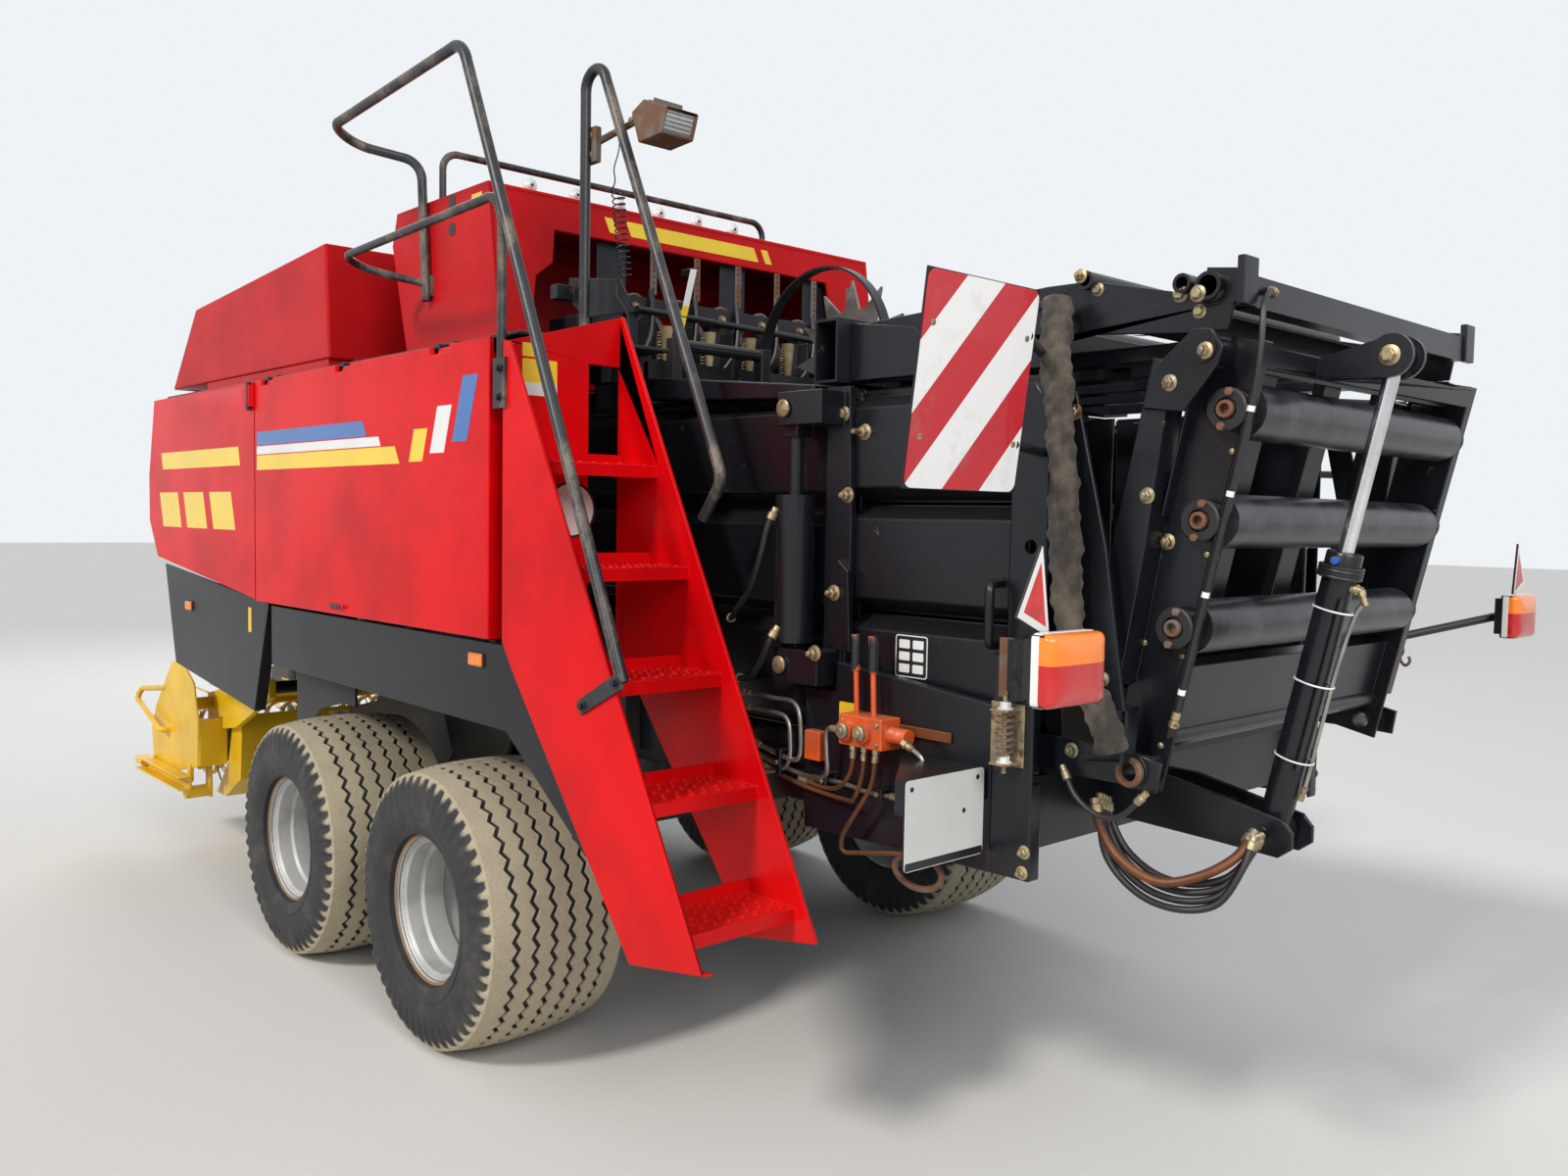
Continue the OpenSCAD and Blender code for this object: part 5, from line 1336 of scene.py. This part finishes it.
class BALER_OT_corner(bpy.types.Operator):
    """Adds the rear corner's spring bracket, strips, grab handle, oval ring, label panel and chain"""

    bl_idname = "baler.corner"
    bl_label = "Rear corner"

    def execute(self, context):
        corner = Shape("zinc")
        spring_bracket(corner)
        straps_and_handles(corner)
        label_panel(corner)
        corner.piece("rear_corner_parts", "chassis", "steel")

        # chain with a hook at the right side of the chute; every other link is turned
        chain = Shape("rusty")
        for k, z in enumerate(np.arange(1.490, 1.345, -0.0205)):
            across = 0.0075 * (X if k % 2 else Y)
            chain.tube(oval((-2.712, -0.668, z), across, 0.0135 * Z, 17), 0.0030, 8)
        chain.tube(flow(HOOK, 0.004), 0.0042)
        chain.block((-2.724, -0.675, 1.492), (-2.700, -0.636, 1.506), 0.002)
        chain.piece("hook_chain", "chassis", "steel")
        return {"FINISHED"}


# chute: its hose, its cylinder's fittings


class BALER_OT_chute(bpy.types.Operator):
    """Lays the hose on the chute's rail and dresses the chute's cylinder"""

    bl_idname = "baler.chute"
    bl_label = "Chute's hose and cylinder"

    def execute(self, context):
        chute = Shape("hose")
        rail = functools.partial(on_chute, -0.052, 0.600)
        bend = [(-2.872, 0.497, 2.190), (-2.885, 0.540, 2.186), (-2.895, 0.585, 2.150),
                (-2.899, 0.600, 2.060)]
        hose(chute, [*bend, rail(0.80), rail(0.45), rail(0.12)], 0.0065, "hose", "zinc")
        for u in (0.20, 0.42, 0.64, 0.82):
            chute.tube([rail(u - 0.006), rail(u + 0.006)], 0.0085, 12, "film")
        chute.piece("chute_hose", "chute", "black_paint")

        along = unit(EYE - FOOT)
        rear = rearward(along)

        def spot(far, out=0.0, way=rear):
            """Place on the barrel: its distance from the foot, and how far out of its axis."""
            return FOOT + far * along + out * way

        body = Shape("black")
        head = [(-0.050, 0.0355), (-0.050, 0.0385), (0.004, 0.0385), (0.008, 0.036), (0.008, 0.024)]
        body.lathe(spot(0.650), along, head, 32, ends="joined")
        # port, elbow and the thin pipe down the barrel, and the cable beside it
        port = [(-0.004, 0.012), (0.010, 0.012), (0.012, 0.009), (0.020, 0.009)]
        body.lathe(spot(0.585, 0.036), rear, port, 14, "zinc")
        pipe = [(0.585, 0.054), (0.565, 0.066), (0.525, 0.054), (0.40, 0.046), (0.25, 0.046), (0.12, 0.046),
                (0.09, 0.042)]
        hose(body, [spot(far, out) for far, out in pipe], 0.0050, "pipe", "zinc")
        hose(body, [spot(far, 0.044, (rear + Y) / 1.41) for far in (0.56, 0.40, 0.16)], 0.0055, "hose")
        # white ties round barrel and pipes
        turn = np.linspace(0, 2 * math.pi, 33)
        swell = 0.0375 + 0.0165 * np.clip(np.cos(turn - 0.4), 0, 1) ** 2
        way = np.cos(turn)[:, None] * rear + np.sin(turn)[:, None] * Y
        for far in (0.18, 0.36, 0.53):
            body.tube(spot(far, swell[:, None], way), 0.0022, 6, "film")
        # cable wound round the barrel's head, and the port's blue cap
        body.tube(coil(spot(0.600), spot(0.628), 0.0440, 4, 28), 0.0042, 8, "hose")
        body.lathe(spot(0.640, 0.036, Y), Y, [(-0.002, 0.009), (0.012, 0.009), (0.014, 0)], 14, "blue cap")
        body.piece("chute_cylinder_fittings", "barrel", "black_paint")
        return {"FINISHED"}


# knotter bay, lamp and twine guides

# rear face of the knotters, and the arch's lug plane that carries the twine discs
BAY = -0.645
DISC_SEAT = -0.222
# cam disc with a raised rim and its hub, twine finger's funnel, and disc that leads the twine
CAM = [(0, 0.046), (0.012, 0.046), (0.014, 0.040), (0.008, 0.034), (0.008, 0.018), (0.018, 0.016),
       (0.020, 0)]
FUNNEL = [(0, 0.024), (0.030, 0.021), (0.130, 0.012), (0.182, 0.009)]
DISC = [(-0.006, 0.027), (0.0, 0.028), (0.002, 0.026), (0.006, 0.012), (0.012, 0.010), (0.013, 0)]


def knotter(shape, y):
    """Cam disc, curved arm, twine funnel, spring and punched strap of the knotter at y."""
    shape.lathe((BAY + 0.02, y + 0.075, 2.405), -X, CAM, 28)
    bolt(shape, (BAY, y + 0.075, 2.405), -X, 0.016, washer=False)
    arm = [(0.005, 0.010, 2.468), (-0.012, 0.016, 2.390), (-0.018, 0.030, 2.300), (-0.010, 0.068, 2.235),
           (0.010, 0.104, 2.190)]
    shape.tube(flow(arm + BAY * X + y * Y, 0.012), 0.0105, 10, "black")
    shape.lathe((BAY - 0.005, y - 0.050, 2.350), -Z, FUNNEL, 20, "twine tan")
    spring = coil((BAY - 0.002, y - 0.020, 2.230), (BAY - 0.002, y - 0.020, 2.330), 0.009, 9)
    shape.tube(spring, 0.0018, 6, "zinc")
    shape.block((BAY + 0.006, y - 0.015, 2.455), (BAY + 0.011, y + 0.011, 2.605), 0.001)
    # the strap's holes are dark discs laid on its face: painted shade of the holes
    for z in np.arange(2.475, 2.600, 0.020):
        shape.lathe((BAY + 0.006, y - 0.002, z), -X, [(0, 0.0045), (0.0006, 0.0045)], 10, "plastic")


def gauge_strip(shape):
    """Strip that lies slantwise before the knotters, white above yellow, with a block at each end."""
    foot, run, rise = (0.402, 2.266), -0.073, 0.290
    for start, end, finish in ((0, 0.55, "gold"), (0.55, 1, "film")):
        across, up = foot[0] - 0.013 + start * run, foot[1] + start * rise
        share = end - start
        rear_film(shape, slanted(across, up, 0.026, share * rise, share * run), BAY - 0.030, finish, 0.002)
    shape.block((BAY - 0.030, 0.318, 2.536), (BAY + 0.030, 0.340, 2.560), 0.002, "black")
    shape.block((BAY - 0.030, 0.392, 2.258), (BAY + 0.040, 0.414, 2.282), 0.002, "black")


def twine_disc(shape, y):
    """Disc on a lug on the arch's top, which leads the twine at y."""
    foot = touch(["arch_hood"], (-0.215, y, 3.05), -Z)[2]
    shape.block((DISC_SEAT, y - 0.008, foot - 0.002), (-0.217, y + 0.008, foot + 0.030), 0.001, "zinc")
    shape.lathe((DISC_SEAT, y, foot + 0.034), -X, DISC, 24, "film")
    bolt(shape, (DISC_SEAT - 0.012, y, foot + 0.034), -X, 0.009, "plastic", False)


class BALER_OT_knotters(bpy.types.Operator):
    """Adds discs, arms, straps, funnels and their shaft to the six knotters, and the twine discs"""

    bl_idname = "baler.knotters"
    bl_label = "Knotter bay"

    def execute(self, context):
        bay = Shape("rusty")
        for k in range(6):
            knotter(bay, (k - 2.5) * 0.19)
        shaft = [(BAY - 0.020, y, 2.380 + 0.012 * np.sign(y)) for y in (0.560, 0.0, -0.560)]
        bay.tube(shaft, 0.0125, 14, "black")
        gauge_strip(bay)
        for y in (0.710, 0.520, 0.330, 0.145, -0.040, -0.225):
            twine_disc(bay, y)
        bay.piece("knotter_parts", "chassis", "steel")
        return {"FINISHED"}


# work lamp: middle of the head's slanted face, and the way up it
LAMP_FACE = np.array([-1.228, 0.820, 2.825])
LAMP_UP = unit([-0.025, 0, 0.066])


def lamp_cable():
    """Coiled cable: a close helix, and quarter arcs that turn it into straight leads above and below."""
    start, end = np.array([[-0.940, 0.835, 2.690], [-0.972, 0.826, 2.420]])
    turns = coil(start, end, 0.019, 15, 24)
    up, bend = unit(start - end), 0.021
    turn = np.linspace(math.pi / 2, 0, 9)[:-1, None]
    along, drop = bend * np.sin(turn), bend * (1 - np.cos(turn))
    first, last = unit(turns[1] - turns[0]), unit(turns[-1] - turns[-2])
    into = turns[0] - along * first + drop * up
    away = turns[-1] + along[::-1] * last - drop[::-1] * up
    lead = flow([(-0.930, 0.822, 2.864), (-0.931, 0.826, 2.810), into[0] + 0.030 * up, into[0]], 0.006)
    tail = flow([away[-1], away[-1] - 0.030 * up, (-0.985, 0.828, 2.310), (-0.990, 0.820, 2.240)], 0.006)
    path = np.vstack([lead[:-1], into, turns, away, tail[1:]])
    cord(Shape("plastic").tube(path, 0.0021, 8), "lamp_cable", 0.0042, "lamp_plastic")


class BALER_OT_lamp(bpy.types.Operator):
    """Adds the work lamp's glass, bracket bolts and its coiled cable"""

    bl_idname = "baler.lamp"
    bl_label = "Work lamp and cable"

    def execute(self, context):
        lamp = Shape("glass")
        out = rearward(LAMP_UP)
        glass = on_plane(rounded(0.100, 0.058, 0.006), LAMP_FACE - 0.012 * out, Y, LAMP_UP)
        lamp.plate(glass, out, 0.004)
        for offset in (-0.024, -0.012, 0.0, 0.012, 0.024):
            centre = LAMP_FACE - 0.006 * out + offset * LAMP_UP
            lamp.tube([centre - 0.046 * Y, centre + 0.046 * Y], 0.0012, 6, "zinc")
        for z in (2.815, 2.875):
            bolt(lamp, (-0.807, 0.850, z), Y, 0.015, thread=0.006)
        bolt(lamp, (-1.010, 0.830, 2.880), Y, 0.017)
        for x in (-1.120, -1.145, -1.170):
            lamp.block((x - 0.002, 0.768, 2.868), (x + 0.002, 0.872, 2.902), 0.001, "rusty")
        lamp.piece("work_lamp_parts", "chassis", "lamp_plastic")
        lamp_cable()
        return {"FINISHED"}


# pickup and drive shaft

# guard cones of the drive shaft: middle of the wide end, way to the narrow one, length
CONES = [((3.905, 0, 1.0484), (-0.955, 0, 0.297), 0.16), ((2.992, 0, 1.3325), (0.955, 0, -0.297), 0.14)]
STUB_END = np.array([4.060, 0, 1.020])
STUB = unit([0.98287, 0, -0.18429])


def stripper_bands(count):
    """Strips bent round the reel: down the back, under it, round the front and up to the rear."""
    turn = np.radians(np.linspace(-158, 112, 37))
    axle = (middle("pickup_reel") - TANDEM) * (1, 0, 1)
    inner = axle + (0.165 + 0.010 * np.cos(turn))[:, None] * spoke(turn)
    inner = np.vstack([inner, (2.20, 0, 0.742)])
    outer = inner + 0.003 * unit(inner - inner.mean(0))
    section = [(inner, -0.014), (outer, -0.012), (outer, 0.012), (inner, 0.014)]
    bands = Shape("yellow")
    for y in np.linspace(-1, 1, count) * (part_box("pickup_reel")[1][1] - 0.19):
        bands.loft(np.stack([path + (y + across) * Y for path, across in section], 1))
    return bands


def guard_cone(shape, at, axis, long):
    """Guard cone with a collar and five ridges, each of less radius than the one before."""
    rows = [(0, 0.058), (0, 0.074), (0.006, 0.076), (0.012, 0.072)]
    for k in range(5):
        far, radius = 0.018 + k * (long - 0.03) / 5, 0.071 - 0.004 * k
        rows += [(far, radius), (far + 0.008, radius + 0.003), (far + 0.014, radius - 0.002)]
    rows += [(long, 0.050), (long + 0.004, 0.0455)]
    shape.lathe(at, axis, rows, 32, ends="joined")


class BALER_OT_pickup(bpy.types.Operator):
    """Adds the pickup's stripper bands, and the drive shaft's guard cones, collars and chain"""

    bl_idname = "baler.pickup"
    bl_label = "Pickup and drive shaft"

    def execute(self, context):
        bands = stripper_bands(context.scene.baler_look.bands)
        bands.piece("stripper_bands", "pickup", "yellow_paint", smooth=30)

        drive = Shape("plastic")
        for row in CONES:
            guard_cone(drive, *row)
        collar = [(-0.006, 0.0302), (-0.006, 0.0335), (0.006, 0.0335), (0.006, 0.0302)]
        for far in (0.028, 0.062):
            drive.lathe(STUB_END - far * STUB, STUB, collar, 32, "zinc", ends="joined")
        hang = np.linspace((3.55, 0.012, 1.115), (3.57, 0.022, 0.86), 12)
        sway = np.sin(np.linspace(0, math.pi, 12))[:, None] * (0.03, 0.02, 0)
        drive.tube(hang + sway, 0.003, 8, "zinc")
        drive.piece("drive_guard_cones", "chassis", "guard_plastic", smooth=40)
        return {"FINISHED"}


# stage

GROUND_SIZE = 60.0
# camera of the photograph: place from the tandem's middle, heading, dip and roll in degrees, and its
# focal length in pixels of a picture 1600 wide, on film 36 mm wide
CAMERA_PLACE = np.array([-4.1531, 3.0622, 1.6967])
CAMERA_TURNS = (-42.49, -3.20, -0.99)
FOCAL, PICTURE, FILM = 1275.8, 1600, 36.0


def standing(place, right, up, back):
    """World matrix of a thing at a place, from its own three directions."""
    return Matrix(np.vstack([np.stack([right, up, back, place], -1), (0, 0, 0, 1)]).tolist())


def link(name, data):
    """A new object in the scene."""
    item = bpy.data.objects.new(name, data)
    bpy.context.scene.collection.objects.link(item)
    return item


def build_floor(look):
    """Wide plane in a pale tone."""
    ground = bpy.data.meshes.new("ground")
    corners = GROUND_SIZE * np.array([(-1, -1, 0), (1, -1, 0), (1, 1, 0), (-1, 1, 0)])
    ground.from_pydata(corners.tolist(), [], [(0, 1, 2, 3)])
    p = Paint("pale ground")
    tone = p.mix(p.noise(0.6, 3), look.ground, tuple(0.96 * c for c in look.ground))
    ground.materials.append(p.finish(Base_Color=tone, Roughness=0.9))
    link("ground", ground)


def build_room(look):
    """World: a pale room for the camera, glossy faces and glass, and a light of its own level."""
    world = bpy.data.worlds.new("pale room")
    bpy.context.scene.world = world
    world.use_nodes = True
    room = Nodes(world.node_tree)
    room.tree.nodes.clear()
    rays = room.tree.nodes.new("ShaderNodeLightPath").outputs
    kinds = ("Camera", "Glossy", "Transmission")
    camera, gloss, glass = (Signal(room, rays[f"Is {kind} Ray"]) for kind in kinds)
    seen = room.node("ShaderNodeBackground", {}, {"Color": (0.86, 0.89, 0.92), "Strength": 1.0})
    light = room.node("ShaderNodeBackground", {}, {"Color": (0.80, 0.88, 1.0), "Strength": look.fill})
    mixed = room.node("ShaderNodeMixShader", {}, {0: (camera + gloss + glass).bounded(), 1: light, 2: seen})
    room.node("ShaderNodeOutputWorld", {}, {"Surface": mixed}, None)


def build_lamps(look):
    """A sun and two soft lamps, each turned to its aim."""
    # name, kind, place, aim, size in metres or sun's angle, power, colour
    lamps = [
        ("key", "SUN", (-0.5, 9.0, 8.0), (-0.3, 0.2, 1.2), 0.16, look.key, (1.0, 0.96, 0.90)),
        ("rear", "AREA", (-9.5, 3.5, 6.0), (-2.0, 0.3, 1.5), 4.0, look.soft, (1.0, 0.98, 0.95)),
        ("front", "AREA", (8.5, -4.0, 7.0), (1.0, 0.0, 1.0), 5.0, look.soft * 0.8, (0.95, 0.97, 1.0)),
    ]
    for name, kind, place, aim, size, power, colour in lamps:
        lamp = bpy.data.lights.new(name, kind)
        lamp.energy, lamp.color = power, colour
        setattr(lamp, "angle" if kind == "SUN" else "size", size)
        ahead = unit(np.subtract(aim, place))
        link(name, lamp).matrix_world = standing(place, *square_to(ahead), -ahead)


def build_camera():
    """Camera at the photograph's place."""
    heading, dip, roll = np.radians(CAMERA_TURNS)
    flat = np.array([math.cos(heading), math.sin(heading), 0])
    ahead = math.cos(dip) * flat + math.sin(dip) * Z
    level = np.cross(flat, Z)
    below = np.cross(ahead, level)
    right = math.cos(roll) * level + math.sin(roll) * below
    up = math.sin(roll) * level - math.cos(roll) * below
    lens = bpy.data.cameras.new("camera")
    lens.sensor_width = FILM
    lens.lens = FOCAL / PICTURE * FILM
    lens.clip_end = 200
    camera = link("camera", lens)
    camera.matrix_world = standing(CAMERA_PLACE + TANDEM, right, up, -ahead)
    bpy.context.scene.camera = camera


class BALER_OT_stage(bpy.types.Operator):
    """Sets the pale floor, the soft lights and the camera at the photograph's place"""

    bl_idname = "baler.stage"
    bl_label = "Stage and camera"

    def execute(self, context):
        look = context.scene.baler_look
        build_floor(look)
        build_room(look)
        build_lamps(look)
        build_camera()
        context.scene.view_settings.view_transform = "Standard"
        return {"FINISHED"}


# add-on


def colour(name, description, default):
    """A colour that the user sets."""
    return bpy.props.FloatVectorProperty(name=name, description=description, size=3, subtype="COLOR",
                                         default=default, min=0, max=1)


class BALER_PG_look(bpy.types.PropertyGroup):
    """Sizes and colours of the baler's finish"""

    red: colour("Red", "Colour of the doors, hoods and ladder", (0.70, 0.0015, 0.004))
    black: colour("Black", "Colour of the chamber and frame", (0.0075, 0.0085, 0.012))
    yellow: colour("Yellow", "Colour of the pickup", (0.86, 0.52, 0.008))
    ground: colour("Ground", "Colour of the floor", (0.68, 0.665, 0.63))
    zigs: bpy.props.IntProperty(name="Zigs", description="Zig-zags round each tyre", default=52, min=24,
                                max=80)
    grooves: bpy.props.IntProperty(name="Grooves", description="Grooves across each tyre", default=6, min=3,
                                   max=8)
    groove_depth: bpy.props.FloatProperty(name="Groove depth", description="Depth of each tyre's grooves",
                                          default=0.013, min=0.004, max=0.018, unit="LENGTH")
    swing: bpy.props.FloatProperty(name="Zig-zag swing", description="How far a groove swings to each side",
                                   default=0.0085, min=0, max=0.011, unit="LENGTH")
    bands: bpy.props.IntProperty(name="Bands", description="Stripper bands of the pickup", default=23,
                                 min=3, max=40)
    key: bpy.props.FloatProperty(name="Key light", description="Strength of the sunlight", default=2.1,
                                 min=0)
    soft: bpy.props.FloatProperty(name="Soft lights", description="Power of the two soft lamps",
                                  default=420.0, min=0, unit="POWER")
    fill: bpy.props.FloatProperty(name="Fill light", description="Strength of the room's light",
                                  default=0.55, min=0)


OPERATORS = [BALER_OT_stage, BALER_OT_steelwork, BALER_OT_wheels, BALER_OT_doors, BALER_OT_trim,
             BALER_OT_bolts, BALER_OT_signs, BALER_OT_hydraulics, BALER_OT_corner, BALER_OT_chute,
             BALER_OT_knotters, BALER_OT_lamp, BALER_OT_pickup]


class BALER_PT_panel(bpy.types.Panel):
    """Lists the baler's pieces in the sidebar"""

    bl_label = "Square baler"
    bl_idname = "BALER_PT_panel"
    bl_space_type = "VIEW_3D"
    bl_region_type = "UI"
    bl_category = "Baler"

    def draw(self, context):
        for name in BALER_PG_look.__annotations__:
            self.layout.prop(context.scene.baler_look, name)
        for operator in OPERATORS:
            self.layout.operator(operator.bl_idname)


def register():
    """Registers the properties, operators and panel."""
    for kind in [BALER_PG_look, *OPERATORS, BALER_PT_panel]:
        bpy.utils.register_class(kind)
    bpy.types.Scene.baler_look = bpy.props.PointerProperty(type=BALER_PG_look)


def unregister():
    """Removes them again."""
    del bpy.types.Scene.baler_look
    for kind in [BALER_PT_panel, *reversed(OPERATORS), BALER_PG_look]:
        bpy.utils.unregister_class(kind)


def main():
    """Registers the add-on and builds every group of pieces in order."""
    register()
    FINISH.update(make_finishes(bpy.context.scene.baler_look))
    for operator in OPERATORS:
        group, name = operator.bl_idname.split(".")
        getattr(getattr(bpy.ops, group), name)()
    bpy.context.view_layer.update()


if __name__ == "__main__":
    main()
